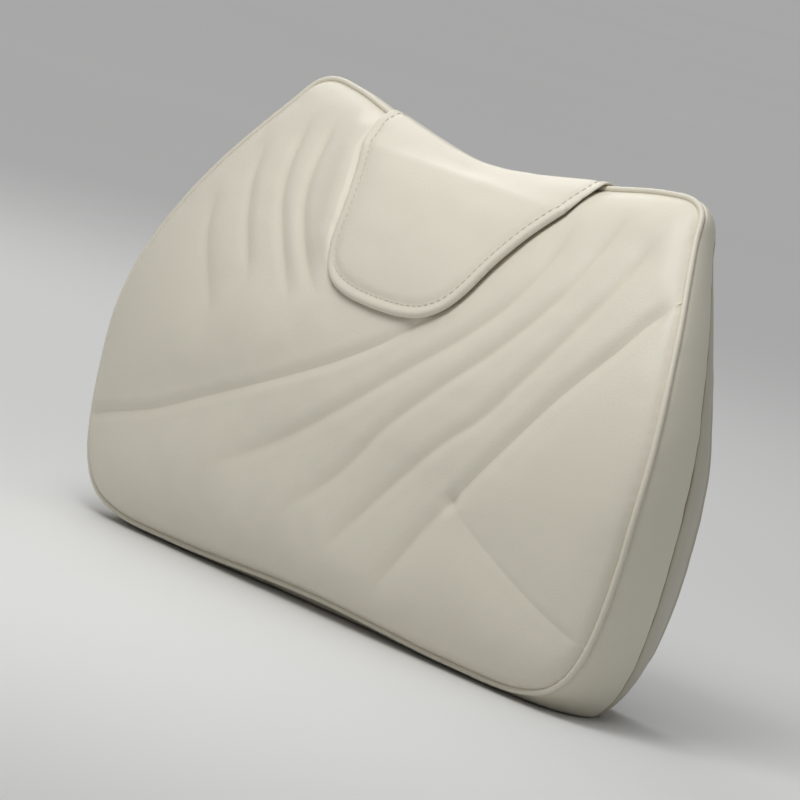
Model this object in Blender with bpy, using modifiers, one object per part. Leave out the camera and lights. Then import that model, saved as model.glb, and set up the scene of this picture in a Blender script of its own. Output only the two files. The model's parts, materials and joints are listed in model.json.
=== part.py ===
"""Lumbar support cushion for a car seat: a leather cover over a moulded foam core.

Row frame, metres: +X to the sitter's left as seen from in front (the viewer's right), +Y towards
the seat back, +Z up. The front faces -Y. The origin is under the middle of the box, on the base.
Front-view sizes are written as (x, z); "depth" is the distance forward of the flat back.
"""
import math

import bmesh
import bpy
import numpy as np
from mathutils import Vector

# ---- driving dimensions -------------------------------------------------------------------------
# Right half of the front seam from bottom centre to top centre, (x, z). The two corner points cut
# the loop into a bottom, two sides and a top.
BOTTOM_CORNER = (0.186, 0.013)
EAR = (0.1505, 0.250)
HALF_OUTLINE = [
    (0.0, 0.006), (0.110, 0.003), (0.165, 0.005), BOTTOM_CORNER, (0.199, 0.031), (0.207, 0.081),
    (0.204, 0.133), (0.185, 0.188), (0.158, 0.237), EAR, (0.141, 0.2545), (0.119, 0.2535),
    (0.074, 0.245), (0.0, 0.236),
]
SEAM_DEPTH = 0.080          # depth of the front seam over the lower, thick part
SEAM_DROP = 0.049           # how much shallower the seam is at the ears
DROP_START = 0.095          # height where the seam starts to fall back
DROP_SPAN = 0.160
DROP_POWER = 1.7
CROWN = 0.016               # the front panel stands this far forward of its seam
CROWN_TOP = 0.120           # distance below the top seam in which the crown rises
CROWN_BOTTOM = 0.060
STEEPEST = 1.3              # limit on the front's slope when a layer is set behind it
REAR_SCALE_X = 0.84         # the back outline is the front one, drawn in
REAR_SCALE_Z = 0.905
REAR_LIFT = 0.004
TAPER_POWER = 1.5           # the sides draw in mostly near the back
SIDE_BULGE = 0.005
TOP_BULGE_LOSS = 0.0035     # the top bulges less than the sides by this
BOTTOM_BULGE = 0.009        # added under the base, then pressed flat at z = 0

LEATHER = 0.0014
WADDING = 0.0052
LINER = 0.0008
GAP = 0.0003                # clear distance between neighbouring pieces
LAYER_GAP = 0.0009          # the same between curved sheets, whose facets don't line up
WELT_RADIUS = 0.0020
WELT_BEHIND = 0.0028        # the welt's centre lies this far behind the front seam
WELT_INSET = 0.0005         # the welt's centre line is this far inside the outline
WADDING_INSET = 0.011
PANEL_INSET = 0.0032        # the front panels stop short of the welt by this much
BAND_START = 0.0054         # the side bands start this far behind the seam
BAND_SPLIT = 0.5            # share of the side's depth where front and rear bands meet
SEAM_GAP_SHARE = 0.012
BAND_END_STEPS = 0.9        # the bands stop this many outline samples short of the ears

BACK_MESH = 0.0060          # thickness of the spacer mesh on the back
BACK_INSET = 0.0030
ZIP_Z = 0.036               # height of the zip's centre line
ZIP_SLOT = 0.0070           # half height of the slot between the two back panels
SLIDER_TRAVEL = 0.276
SLIDER_LENGTH = 0.011
SLIDER_X = SLIDER_TRAVEL / 2                    # closed, at the +X end
COIL_HALF = SLIDER_X + SLIDER_LENGTH / 2 + GAP  # half length of the zip's teeth
COIL_WIDTH = 0.0026
COIL_GAP = 0.0007           # half the space between the two coils, for the slider's post
TAPE_WIDTH = 0.0120
TAPE_HALF = 0.154           # half length of the tapes
GUARD_HALF = (0.150, 0.014)  # half length and half height of the flap behind the teeth
STOP_LENGTH = 0.0025
SLIDER_MARGIN = 0.0006      # the slider is this much wider than the teeth, each side
POST_HALF = 0.0020          # half length of the post that joins the slider's two plates
LUG = (0.0011, 0.0024, 0.0033)   # half length, inner and outer height of the eye that holds the pull
LUG_TOP = 0.0004            # depth of the top of the eye
WELD = 0.0002               # overlap where two solids join
PULL_LENGTH = 0.021
PULL_TAB_START = 0.0016     # the wide tab starts this far from the pull's pin
PULL_TAB_HALF = (0.0006, 0.0030)   # half thickness and half width
PULL_NECK_HALF = (0.0005, 0.0018)
PULL_NECK = (0.0024, 0.0004)     # the neck reaches this far each side of the pin
PULL_PIN = (0.0009, 0.0042)      # radius and length
# Depths inside the back plane of each layer at the zip: (start, end)
PULL_AXIS_DEPTH = 0.0014
TOP_PLATE = (0.0027, 0.0037)
COIL_LAYER = (0.0040, 0.0060)
TAPE_LAYER = (0.0063, 0.0069)
BOTTOM_PLATE = (0.0072, 0.0080)
GUARD_LAYER = (0.0084, 0.0090)
LINER_BACK_LAYER = (0.0093, 0.0101)
FOAM_BACK = 0.0104

HINGE_Z = 0.228             # height of the line where the tongue folds
TONGUE_TOP_HALF = 0.0790
TONGUE_LOW_HALF = 0.0560
TONGUE_LOW_Z = 0.177
TONGUE_TIP_Z = 0.155
TONGUE_LINING = (0.0004, 0.0014)
TONGUE_PAD = (0.0017, 0.0032)
TONGUE_OUTER = (0.0035, 0.0047)
ROOT_HALF = 0.084
ROOT_SHARES = (0.15, 0.4, 0.65, 0.88)   # where the tongue's fixed end touches down on the top
ROOT_CLEAR = 0.0024
OVER_WELT = ((0.0085, 0.0002), (0.0020, 0.0048))   # forward of and above the seam, passing the welt

# Seams that divide the front, (x, z), each running past the outline at its outer ends.
WRAP_SEAM = [(-0.240, 0.042), (-0.190, 0.052), (-0.145, 0.065), (-0.095, 0.086), (-0.050, 0.106),
             (-0.009, 0.127), (0.020, 0.147), (0.048, 0.180), (0.064, 0.215), (0.074, 0.280)]
RIGHT_SEAM = [(0.215, 0.250), (0.172, 0.215), (0.160, 0.180), (0.142, 0.150), (0.118, 0.111),
              (0.097, 0.081)]
LOWER_SEAM = [(0.097, 0.081), (0.118, 0.070), (0.145, 0.058), (0.172, 0.047), (0.240, 0.026)]

FRONT_Y = -(SEAM_DEPTH + CROWN) / 2
REAR_Y = (SEAM_DEPTH + CROWN) / 2
LOOP_STEPS = 24             # samples between two outline points
LEFT, RIGHT = -1, 1
BIG = 0.26                  # beyond the cushion in x
ABOVE = 0.30                # beyond the cushion in z
PATCH_SAMPLES = 96
PRISM_STEP = 6              # outline samples skipped in the flat back pieces and the welt
PADDING_INSET = 0.012
LABEL_SPAN = 12             # outline samples across the label
LABEL_SHARES = (0.02, 0.28)      # where the label starts and ends behind the side seam
LABEL_LIFT = 0.0018

LEATHER_CREAM = (0.62, 0.585, 0.50)
LEATHER_SHADE = (0.56, 0.53, 0.45)
FOAM_WHITE = (0.80, 0.78, 0.70)
LINER_WHITE = (0.75, 0.74, 0.70)
LABEL_WHITE = (0.80, 0.80, 0.78)
MESH_GREY = (0.30, 0.30, 0.29)
ZIP_CREAM = (0.58, 0.55, 0.47)
METAL = (0.62, 0.62, 0.60)


# ---- curves ---------------------------------------------------------------------------------------
def catmull_rom(p0, p1, p2, p3, steps):
    """Points from p1 up to, not with, p2 on a centripetal Catmull-Rom curve."""
    knots = [0.0]
    for a, b in ((p0, p1), (p1, p2), (p2, p3)):
        knots.append(knots[-1] + math.sqrt(np.linalg.norm(b - a)))
    t = np.linspace(knots[1], knots[2], steps, endpoint=False)[:, None]

    def mix(a, b, start, end):
        return ((end - t) * a + (t - start) * b) / (end - start)

    a1 = mix(p0, p1, knots[0], knots[1])
    a2 = mix(p1, p2, knots[1], knots[2])
    a3 = mix(p2, p3, knots[2], knots[3])
    b1 = mix(a1, a2, knots[0], knots[2])
    b2 = mix(a2, a3, knots[1], knots[3])
    return mix(b1, b2, knots[1], knots[2])


def smooth_open(points, steps=6):
    """A smooth open curve through the points."""
    p = [np.array(q, float) for q in points]
    p = [2 * p[0] - p[1]] + p + [2 * p[-1] - p[-2]]
    parts = [catmull_rom(*p[i:i + 4], steps) for i in range(len(p) - 3)]
    return np.vstack(parts + [p[-2][None, :]])


def smooth_loop(half):
    """The whole outline, anticlockwise from the bottom centre, from its right half."""
    mirrored = [(-x, z) for x, z in half[-2:0:-1]]
    p = [np.array(q, float) for q in half + mirrored]
    n = len(p)
    parts = [catmull_rom(p[i - 1], p[i], p[(i + 1) % n], p[(i + 2) % n], LOOP_STEPS)
             for i in range(n)]
    return np.vstack(parts)


def resample(points, count):
    """The open polyline with count + 1 points, evenly spaced along it."""
    run = np.concatenate([[0], np.cumsum(np.linalg.norm(np.diff(points, axis=0), axis=1))])
    at = np.linspace(0, run[-1], count + 1)
    return np.stack([np.interp(at, run, points[:, k]) for k in (0, 1)], axis=1)


def outward(points):
    """Unit normals of a closed anticlockwise outline, pointing out."""
    along = np.roll(points, -1, axis=0) - np.roll(points, 1, axis=0)
    normal = np.stack([along[:, 1], -along[:, 0]], axis=1)
    return normal / np.linalg.norm(normal, axis=1)[:, None]


LOOP = smooth_loop(HALF_OUTLINE)
LOOP_OUT = outward(LOOP)


def index_of(corner, side):
    return HALF_OUTLINE.index(corner) * LOOP_STEPS if side == RIGHT else (
        len(LOOP) - HALF_OUTLINE.index(corner) * LOOP_STEPS)


BOTTOM_RIGHT, EAR_RIGHT = index_of(BOTTOM_CORNER, RIGHT), index_of(EAR, RIGHT)
EAR_LEFT, BOTTOM_LEFT = index_of(EAR, LEFT), index_of(BOTTOM_CORNER, LEFT)


# ---- the cushion's surface -----------------------------------------------------------------------
def seam_depth(z):
    """Depth of the front seam at a height."""
    rise = np.clip((np.asarray(z) - DROP_START) / DROP_SPAN, 0, None)
    return SEAM_DEPTH - SEAM_DROP * rise ** DROP_POWER


def quarter_round(s):
    """0 to 1 with the profile of a quarter circle."""
    return np.sqrt(1 - (1 - np.clip(s, 0, 1)) ** 2)


WIDEST = int(np.argmax(LOOP[:, 0]))
TOP_MIDDLE = (len(HALF_OUTLINE) - 1) * LOOP_STEPS


def front_depth(x, z):
    """Depth of the crowned front surface at (x, z)."""
    x = np.abs(x)
    upper = LOOP[WIDEST:TOP_MIDDLE + 1][::-1]
    lower = LOOP[:WIDEST + 1]
    side = LOOP[BOTTOM_RIGHT:EAR_RIGHT + 1]
    top = np.interp(x, upper[:, 0], upper[:, 1])
    bottom = np.interp(x, lower[:, 0], lower[:, 1])
    half = np.interp(z, side[:, 1], side[:, 0])
    across = np.sqrt(np.clip(1 - (x / half) ** 2, 0, 1))
    rise = quarter_round((top - z) / CROWN_TOP) * quarter_round((z - bottom) / CROWN_BOTTOM)
    return seam_depth(z) + CROWN * across * rise


def front_point(x, z, behind=0.0):
    """The point (x, y, z) some way behind the front surface, measured square to it."""
    step = 0.001
    along_x = float(front_depth(x + step, z) - front_depth(x - step, z)) / (2 * step)
    along_z = float(front_depth(x, z + step) - front_depth(x, z - step)) / (2 * step)
    along_x, along_z = np.clip((along_x, along_z), -STEEPEST, STEEPEST)
    share = behind / math.sqrt(1 + along_x ** 2 + along_z ** 2)
    depth = float(front_depth(x, z)) - share
    return x + along_x * share, REAR_Y - depth, z + along_z * share


def rear_outline(points):
    return points * [REAR_SCALE_X, REAR_SCALE_Z] + [0, REAR_LIFT]


def side_point(index, share):
    """A point on the side, at a place round the loop and a share of the way to the back."""
    i = index % len(LOOP)
    low, part = int(i), i - int(i)
    high = (low + 1) % len(LOOP)
    seam = LOOP[low] * (1 - part) + LOOP[high] * part
    out = LOOP_OUT[low] * (1 - part) + LOOP_OUT[high] * part
    place = seam + (rear_outline(seam) - seam) * share ** TAPER_POWER
    bulge = SIDE_BULGE + BOTTOM_BULGE * max(0.0, -out[1]) - TOP_BULGE_LOSS * max(0.0, out[1])
    place = place + out * bulge * math.sin(math.pi * share)
    depth = (seam_depth(seam[1]) - BAND_START) * (1 - share)
    return place[0], REAR_Y - depth, max(place[1], 0.0)


def four_sides(outline, count):
    """Bottom, right, top and left of an outline, as matching runs for a Coons patch."""
    closed = np.vstack([outline, outline[:1]])
    bottom = np.vstack([outline[BOTTOM_LEFT:], closed[:BOTTOM_RIGHT + 1]])
    right = outline[BOTTOM_RIGHT:EAR_RIGHT + 1]
    top = outline[EAR_RIGHT:EAR_LEFT + 1][::-1]
    left = outline[EAR_LEFT:BOTTOM_LEFT + 1][::-1]
    return [resample(run, count) for run in (bottom, right, top, left)]


class Patch:
    """A smooth map from the unit square onto the inside of an outline."""
    def __init__(self, outline):
        self.bottom, self.right, self.top, self.left = four_sides(outline, PATCH_SAMPLES)

    def at(self, run, s):
        steps = np.linspace(0, 1, PATCH_SAMPLES + 1)
        return np.array([np.interp(s, steps, run[:, 0]), np.interp(s, steps, run[:, 1])])

    def __call__(self, u, v):
        low, high = self.at(self.bottom, u), self.at(self.top, u)
        left, right = self.at(self.left, v), self.at(self.right, v)
        corners = ((1 - u) * (1 - v) * self.bottom[0] + u * (1 - v) * self.bottom[-1]
                   + (1 - u) * v * self.top[0] + u * v * self.top[-1])
        return (1 - v) * low + v * high + (1 - u) * left + u * right - corners


def ease(s):
    """Spread samples towards both ends of 0 to 1, where the surface turns fastest."""
    return 0.5 - 0.5 * math.cos(math.pi * s) if s not in (0, 1) else s


def inset(outline, distance):
    return outline - outward(outline) * distance


# ---- objects ----------------------------------------------------------------------------------------
def clear_scene():
    for obj in list(bpy.data.objects):
        bpy.data.objects.remove(obj, do_unlink=True)


def new_collection(name):
    collection = bpy.data.collections.new(name)
    bpy.context.scene.collection.children.link(collection)
    return collection


def material(name, color, roughness=0.5, metallic=0.0):
    mat = bpy.data.materials.get(name) or bpy.data.materials.new(name)
    mat.use_nodes = True
    shader = mat.node_tree.nodes["Principled BSDF"]
    shader.inputs["Base Color"].default_value = (*color, 1)
    shader.inputs["Roughness"].default_value = roughness
    shader.inputs["Metallic"].default_value = metallic
    return mat


def add_object(name, bm, mat, smooth=True):
    mesh = bpy.data.meshes.new(name)
    bm.to_mesh(mesh)
    bm.free()
    mesh.materials.append(mat)
    if smooth:
        mesh.shade_smooth()
    obj = bpy.data.objects.new(name, mesh)
    PARTS.objects.link(obj)
    return obj


def add_thickness(obj, thickness, offset=-1):
    solid = obj.modifiers.new("Thickness", "SOLIDIFY")
    solid.thickness = thickness
    solid.offset = offset
    return obj


def add_bevel(obj, width):
    bevel = obj.modifiers.new("Bevel", "BEVEL")
    bevel.width = width
    bevel.segments = 1


def mapped_grid(columns, rows, place):
    """A grid whose points (u, v) in the unit square go where place(u, v) says."""
    bm = bmesh.new()
    bmesh.ops.create_grid(bm, x_segments=columns, y_segments=rows, size=1)
    for vert in bm.verts:
        u, v = (vert.co.x + 1) / 2, (vert.co.y + 1) / 2
        vert.co = place(round(u, 6), round(v, 6))
    return bm


def box(bm, low, high):
    """Add a box between two corners."""
    made = bmesh.ops.create_cube(bm, size=1)
    for vert in made["verts"]:
        vert.co = [low[k] + (vert.co[k] + 0.5) * (high[k] - low[k]) for k in range(3)]
    return bm


def box_object(name, low, high, mat, bevel=0.0):
    obj = add_object(name, box(bmesh.new(), low, high), mat, smooth=False)
    if bevel:
        add_bevel(obj, bevel)


def prism_object(name, points, low_y, high_y, mat, collection):
    """An outline in (x, z), anticlockwise from the front, extruded along Y."""
    curve = bpy.data.curves.new(name, "CURVE")
    curve.dimensions = "2D"
    curve.fill_mode = "BOTH"
    curve.extrude = (high_y - low_y) / 2
    spline = curve.splines.new("POLY")
    spline.points.add(len(points) - 1)
    for point, (x, z) in zip(spline.points, points):
        point.co = (x, z, 0, 1)
    spline.use_cyclic_u = True
    source = bpy.data.objects.new(name + "_curve", curve)
    bpy.context.scene.collection.objects.link(source)
    source.rotation_euler = (math.pi / 2, 0, 0)
    source.location = (0, (low_y + high_y) / 2, 0)
    bpy.context.view_layer.update()
    evaluated = source.evaluated_get(bpy.context.evaluated_depsgraph_get())
    bm = bmesh.new()
    bm.from_mesh(bpy.data.meshes.new_from_object(evaluated))
    bmesh.ops.remove_doubles(bm, verts=bm.verts, dist=1e-6)
    bmesh.ops.transform(bm, matrix=source.matrix_world, verts=bm.verts)
    bpy.data.objects.remove(source, do_unlink=True)
    mesh = bpy.data.meshes.new(name)
    bm.to_mesh(mesh)
    bm.free()
    mesh.materials.append(mat)
    obj = bpy.data.objects.new(name, mesh)
    collection.objects.link(obj)
    return obj


def cutter_object(name, points):
    obj = prism_object(name, points, FRONT_Y - 0.05, REAR_Y + 0.05, material("cutter", (1, 0, 0)),
                       CUTTERS)
    obj.hide_render = True
    obj.display_type = "WIRE"
    return obj


def boolean(obj, other, operation):
    cut = obj.modifiers.new(operation.title(), "BOOLEAN")
    cut.operation = operation
    cut.object = other
    cut.solver = "EXACT"


# ---- filling ---------------------------------------------------------------------------------------
FRONT_STACK = LEATHER + 2 * LAYER_GAP + WADDING
CORE_MARGIN = LEATHER + LINER + 2 * GAP + 0.002   # the liner's outline is this far inside the cover's
CORE_CUTS = 11
CORE_DEPTH_CUTS = 3


def core_cube():
    """A cube whose front and back are finely divided, and whose sides are coarser in depth."""
    bm = bmesh.new()
    bmesh.ops.create_cube(bm, size=2)
    across = [e for e in bm.edges if abs(e.verts[0].co.y - e.verts[1].co.y) < 1]
    bmesh.ops.subdivide_edges(bm, edges=across, cuts=CORE_CUTS, use_grid_fill=True)
    deep = [e for e in bm.edges if abs(e.verts[0].co.y - e.verts[1].co.y) > 1]
    bmesh.ops.subdivide_edges(bm, edges=deep, cuts=CORE_DEPTH_CUTS, use_grid_fill=True)
    return bm


def shape_core(bm, margin, front_margin, back_depth):
    """Move a cube's points onto the cushion's shape, drawn in by the margins."""
    front = Patch(inset(LOOP, margin))
    back = Patch(inset(rear_outline(LOOP), margin))
    for vert in bm.verts:
        u, share = (vert.co.x + 1) / 2, (vert.co.y + 1) / 2
        v = (vert.co.z + 1) / 2
        near = front_point(*front(ease(u), ease(v)), front_margin)
        far = back(ease(u), ease(v))
        draw = share ** TAPER_POWER
        x, z = near[0] + (far[0] - near[0]) * draw, near[2] + (far[1] - near[2]) * draw
        y = near[1] + (REAR_Y - back_depth - near[1]) * share
        vert.co = (x, y, max(z, margin))
    return bm


def make_foam_core():
    margin = CORE_MARGIN + GAP
    bm = shape_core(core_cube(), margin, FRONT_STACK + LINER + GAP, FOAM_BACK)
    return add_object("foam_core", bm, material("foam", FOAM_WHITE, 0.9))


def make_liner():
    margin = CORE_MARGIN
    rim_depth = LINER_BACK_LAYER[1] + GAP
    bm = shape_core(core_cube(), margin, FRONT_STACK + LINER, rim_depth)
    rear_y = REAR_Y - rim_depth - 1e-5
    rear_faces = [f for f in bm.faces if all(v.co.y > rear_y for v in f.verts)]
    bmesh.ops.delete(bm, geom=rear_faces, context="FACES")
    front = add_object("liner_front", bm, material("liner", LINER_WHITE, 0.9))
    add_thickness(front, LINER, 1)
    patch = Patch(inset(rear_outline(LOOP), margin))
    depth = LINER_BACK_LAYER[0]

    def place(u, v):
        x, z = patch(ease(1 - u), ease(v))
        return x, REAR_Y - depth, max(z, margin)

    rear_sheet = add_object("liner_back", mapped_grid(12, 10, place),
                            material("liner", LINER_WHITE, 0.9))
    add_thickness(rear_sheet, LINER)


def front_sheet(name, margin, behind, thickness, columns, rows, mat):
    """A sheet that follows the crowned front, some way behind its surface."""
    patch = Patch(inset(LOOP, margin))

    def place(u, v):
        return front_point(*patch(ease(u), ease(v)), behind)

    return add_thickness(add_object(name, mapped_grid(columns, rows, place), mat), thickness)


def make_wadding():
    front_sheet("front_wadding", WADDING_INSET, LEATHER + LAYER_GAP, WADDING, 16, 12,
                material("wadding", FOAM_WHITE, 0.9))


# ---- cover -------------------------------------------------------------------------------------------
def beside(curve, distance):
    """The open curve moved to its left by a distance."""
    along = np.gradient(curve, axis=0)
    normal = np.stack([-along[:, 1], along[:, 0]], axis=1)
    return curve + normal / np.linalg.norm(normal, axis=1)[:, None] * distance


def make_front_panels():
    """The left wing, the pleated wrap across the middle, and the plain panel on the right."""
    leather = material("leather", LEATHER_CREAM, 0.45)
    wrap_seam = smooth_open(WRAP_SEAM)
    right_seam = np.vstack([smooth_open(RIGHT_SEAM)[:-1], smooth_open(LOWER_SEAM)])
    wing_corners = [(wrap_seam[-1][0], ABOVE), (-BIG, ABOVE), (-BIG, wrap_seam[0][1])]
    right_corners = [(BIG, right_seam[-1][1]), (BIG, right_seam[0][1])]
    for name, growth in (("seam", 0.0), ("seam_wide", GAP)):
        wing = np.vstack([beside(wrap_seam, -growth), wing_corners])
        right = np.vstack([beside(right_seam, -growth), right_corners])
        cutter_object("wing_" + name, wing)
        cutter_object("right_" + name, right)
    panels = {}
    for name in ("left_wing_panel", "wrap_panel", "right_panel"):
        panels[name] = front_sheet(name, PANEL_INSET, 0, LEATHER, 22, 16, leather)
    boolean(panels["left_wing_panel"], CUTTERS.objects["wing_seam"], "INTERSECT")
    boolean(panels["right_panel"], CUTTERS.objects["right_seam"], "INTERSECT")
    boolean(panels["wrap_panel"], CUTTERS.objects["wing_seam_wide"], "DIFFERENCE")
    boolean(panels["wrap_panel"], CUTTERS.objects["right_seam_wide"], "DIFFERENCE")


def make_welt():
    """The piping behind the front seam, all the way round."""
    curve = bpy.data.curves.new("front_welt", "CURVE")
    curve.dimensions = "3D"
    curve.bevel_depth = WELT_RADIUS
    curve.bevel_resolution = 1
    places = inset(LOOP, WELT_INSET)[::PRISM_STEP]
    spline = curve.splines.new("POLY")
    spline.points.add(len(places) - 1)
    for point, (x, z) in zip(spline.points, places):
        point.co = (x, REAR_Y - float(seam_depth(z)) + WELT_BEHIND, z, 1)
    spline.use_cyclic_u = True
    curve.materials.append(material("leather", LEATHER_CREAM, 0.45))
    obj = bpy.data.objects.new("front_welt", curve)
    PARTS.objects.link(obj)


def make_band(name, start, end, share_front, share_back, columns, mat):
    """A strip of the side between two places round the loop and two shares of its depth."""
    run = end - start - 2 * BAND_END_STEPS

    def place(u, v):
        index = start + BAND_END_STEPS + run * u
        return side_point(index, share_back + (share_front - share_back) * v)

    return add_thickness(add_object(name, mapped_grid(columns, 6, place), mat), LEATHER)


def make_bands():
    front = material("leather", LEATHER_CREAM, 0.45)
    rear = material("leather_shade", LEATHER_SHADE, 0.5)
    split = (BAND_SPLIT - SEAM_GAP_SHARE / 2, BAND_SPLIT + SEAM_GAP_SHARE / 2)
    round_the_base = EAR_RIGHT + len(LOOP)
    make_band("front_band_top", EAR_RIGHT, EAR_LEFT, 0, split[0], 20, front)
    make_band("front_band_base", EAR_LEFT, round_the_base, 0, split[0], 44, front)
    make_band("rear_band_top", EAR_RIGHT, EAR_LEFT, split[1], 1, 20, rear)
    make_band("rear_band_base", EAR_LEFT, round_the_base, split[1], 1, 44, rear)


def level_cut(outline, z, keep_above):
    """The part of a closed outline above or below a height."""
    kept = []
    n = len(outline)
    for i in range(n):
        a, b = outline[i], outline[(i + 1) % n]
        if (a[1] >= z) == keep_above:
            kept.append(a)
        if (a[1] >= z) != (b[1] >= z):
            share = (z - a[1]) / (b[1] - a[1])
            kept.append(a + (b - a) * share)
    return np.array(kept)


def make_back():
    """Spacer mesh above and below the zip, and the soft sheet behind the upper one."""
    mesh_fabric = material("spacer_mesh", MESH_GREY, 0.9)
    outline = inset(rear_outline(LOOP), BACK_INSET)[::PRISM_STEP]
    upper = level_cut(outline, ZIP_Z + ZIP_SLOT, True)
    lower = level_cut(outline, ZIP_Z - ZIP_SLOT, False)
    prism_object("back_panel", upper, REAR_Y - BACK_MESH, REAR_Y, mesh_fabric, PARTS)
    prism_object("back_lower_strip", lower, REAR_Y - BACK_MESH, REAR_Y, mesh_fabric, PARTS)
    inner = inset(rear_outline(LOOP), PADDING_INSET)[::PRISM_STEP]
    padding = level_cut(inner, ZIP_Z + TAPE_WIDTH + 0.006, True)
    prism_object("back_padding", padding, REAR_Y - GUARD_LAYER[1], REAR_Y - TAPE_LAYER[0],
                 material("wadding", FOAM_WHITE, 0.9), PARTS)


# ---- zip ---------------------------------------------------------------------------------------------
def layer(depths):
    """Low and high Y of a layer given as depths inside the back plane."""
    return REAR_Y - depths[1], REAR_Y - depths[0]


def make_zip():
    tape_mat = material("zip_tape", ZIP_CREAM, 0.9)
    coil_mat = material("zip_coil", ZIP_CREAM, 0.4)
    metal = material("zip_metal", METAL, 0.3, 1.0)
    tape_low, tape_high = layer(TAPE_LAYER)
    coil_low, coil_high = layer(COIL_LAYER)
    for name, side in (("upper", 1), ("lower", -1)):
        edges = sorted((ZIP_Z + side * COIL_GAP, ZIP_Z + side * TAPE_WIDTH))
        box_object("zip_tape_" + name, (-TAPE_HALF, tape_low, edges[0]),
                   (TAPE_HALF, tape_high, edges[1]), tape_mat)
        edges = sorted((ZIP_Z + side * COIL_GAP, ZIP_Z + side * (COIL_GAP + COIL_WIDTH)))
        box_object("zip_coil_" + name, (-COIL_HALF, coil_low, edges[0]),
                   (COIL_HALF, coil_high, edges[1]), coil_mat, 0.0006)
    stop_half = COIL_GAP + COIL_WIDTH
    for name, side in (("left", LEFT), ("right", RIGHT)):
        ends = sorted((side * (COIL_HALF + GAP), side * (COIL_HALF + GAP + STOP_LENGTH)))
        box_object("zip_stop_" + name, (ends[0], coil_low, ZIP_Z - stop_half),
                   (ends[1], coil_high, ZIP_Z + stop_half), metal, 0.0004)
    guard_low, guard_high = layer(GUARD_LAYER)
    long_half, high_half = GUARD_HALF
    box_object("zip_guard", (-long_half, guard_low, ZIP_Z - high_half),
               (long_half, guard_high, ZIP_Z + high_half), material("liner", LINER_WHITE, 0.9))


def joined_boxes(base, mount, mat, boxes):
    """Union boxes with a base object; all of them are placed from the slider's mount."""
    for name, (low, high) in boxes.items():
        piece = add_object(name, box(bmesh.new(), low, high), mat, smooth=False)
        PARTS.objects.unlink(piece)
        CUTTERS.objects.link(piece)
        piece.hide_render = True
        piece.display_type = "WIRE"
        piece.parent = mount
        boolean(base, piece, "UNION")


def make_slider():
    """Two plates joined by a post that runs between the coils, with a hinge eye on top."""
    metal = material("zip_metal", METAL, 0.3, 1.0)
    top_low, top_high = -TOP_PLATE[1], -TOP_PLATE[0]
    bottom_low, bottom_high = -BOTTOM_PLATE[1], -BOTTOM_PLATE[0]
    half, width = SLIDER_LENGTH / 2, COIL_GAP + COIL_WIDTH + SLIDER_MARGIN
    mount = bpy.data.objects.new("zip_slider_mount", None)
    PARTS.objects.link(mount)
    mount.location = (SLIDER_X, REAR_Y, ZIP_Z)
    plate = box(bmesh.new(), (-half, top_low, -width), (half, top_high, width))
    slider = add_object("zip_slider", plate, metal, smooth=False)
    add_bevel(slider, GAP)
    slider.parent = mount
    post_half = COIL_GAP - GAP
    lug_half, lug_inner, lug_outer = LUG
    lug_low = top_high - 2 * WELD
    joined_boxes(slider, mount, metal, {
        "slider_base": ((-half, bottom_low, -width), (half, bottom_high, width)),
        "slider_post": ((-POST_HALF, bottom_high - WELD, -post_half),
                        (POST_HALF, top_low + WELD, post_half)),
        "slider_lug_upper": ((-lug_half, lug_low, lug_inner), (lug_half, -LUG_TOP, lug_outer)),
        "slider_lug_lower": ((-lug_half, lug_low, -lug_outer), (lug_half, -LUG_TOP, -lug_inner)),
    })
    make_pull(mount, metal)


def make_pull(mount, metal):
    """The pull tab, hinged on the slider about a vertical pin, lying towards -X at rest."""
    radius, pin_length = PULL_PIN
    bm = bmesh.new()
    bmesh.ops.create_cone(bm, cap_ends=True, segments=12, radius1=radius, radius2=radius,
                          depth=pin_length)
    bmesh.ops.translate(bm, vec=(0, -PULL_AXIS_DEPTH, 0), verts=bm.verts)
    pull = add_object("zip_pull", bm, metal)
    pull.parent = mount
    low_y, high_y = [-PULL_AXIS_DEPTH + side * PULL_TAB_HALF[0] for side in (-1, 1)]
    neck_low, neck_high = [-PULL_AXIS_DEPTH + side * PULL_NECK_HALF[0] for side in (-1, 1)]
    joined_boxes(pull, mount, metal, {
        "pull_neck": ((-PULL_NECK[0], neck_low, -PULL_NECK_HALF[1]),
                      (PULL_NECK[1], neck_high, PULL_NECK_HALF[1])),
        "pull_tab": ((-PULL_LENGTH, low_y, -PULL_TAB_HALF[1]),
                     (-PULL_TAB_START, high_y, PULL_TAB_HALF[1])),
    })


# ---- tongue ------------------------------------------------------------------------------------------
def tongue_half(z):
    """Half width of the tongue at a height, above its rounded end."""
    share = np.clip((z - TONGUE_LOW_Z) / (HINGE_Z - TONGUE_LOW_Z), 0, 1)
    return TONGUE_LOW_HALF + (TONGUE_TOP_HALF - TONGUE_LOW_HALF) * share


def make_tongue_layer(name, layer_depths, shrink, mat):
    """One layer of the free flap, which lies on the front between two heights above it."""
    inner, outer = layer_depths
    hinge = tongue_axis()
    top = HINGE_Z - GAP

    def place(u, v):
        side = 2 * u - 1
        end = TONGUE_TIP_Z + shrink + (TONGUE_LOW_Z - TONGUE_TIP_Z) * abs(side) ** 3
        z = end + (top - end) * v
        x = side * (float(tongue_half(z)) - shrink)
        return Vector(front_point(x, z, -outer)) - hinge

    obj = add_object(name, mapped_grid(12, 7, place), mat)
    obj.location = hinge
    return add_thickness(obj, outer - inner)


def tongue_axis():
    """A point on the fold's axis, just outside the tongue's outer face all along the fold."""
    fold = [front_point(x, HINGE_Z, -TONGUE_OUTER[1]) for x in np.linspace(0, TONGUE_TOP_HALF, 20)]
    return Vector((0, min(p[1] for p in fold), max(p[2] for p in fold)))


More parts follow.
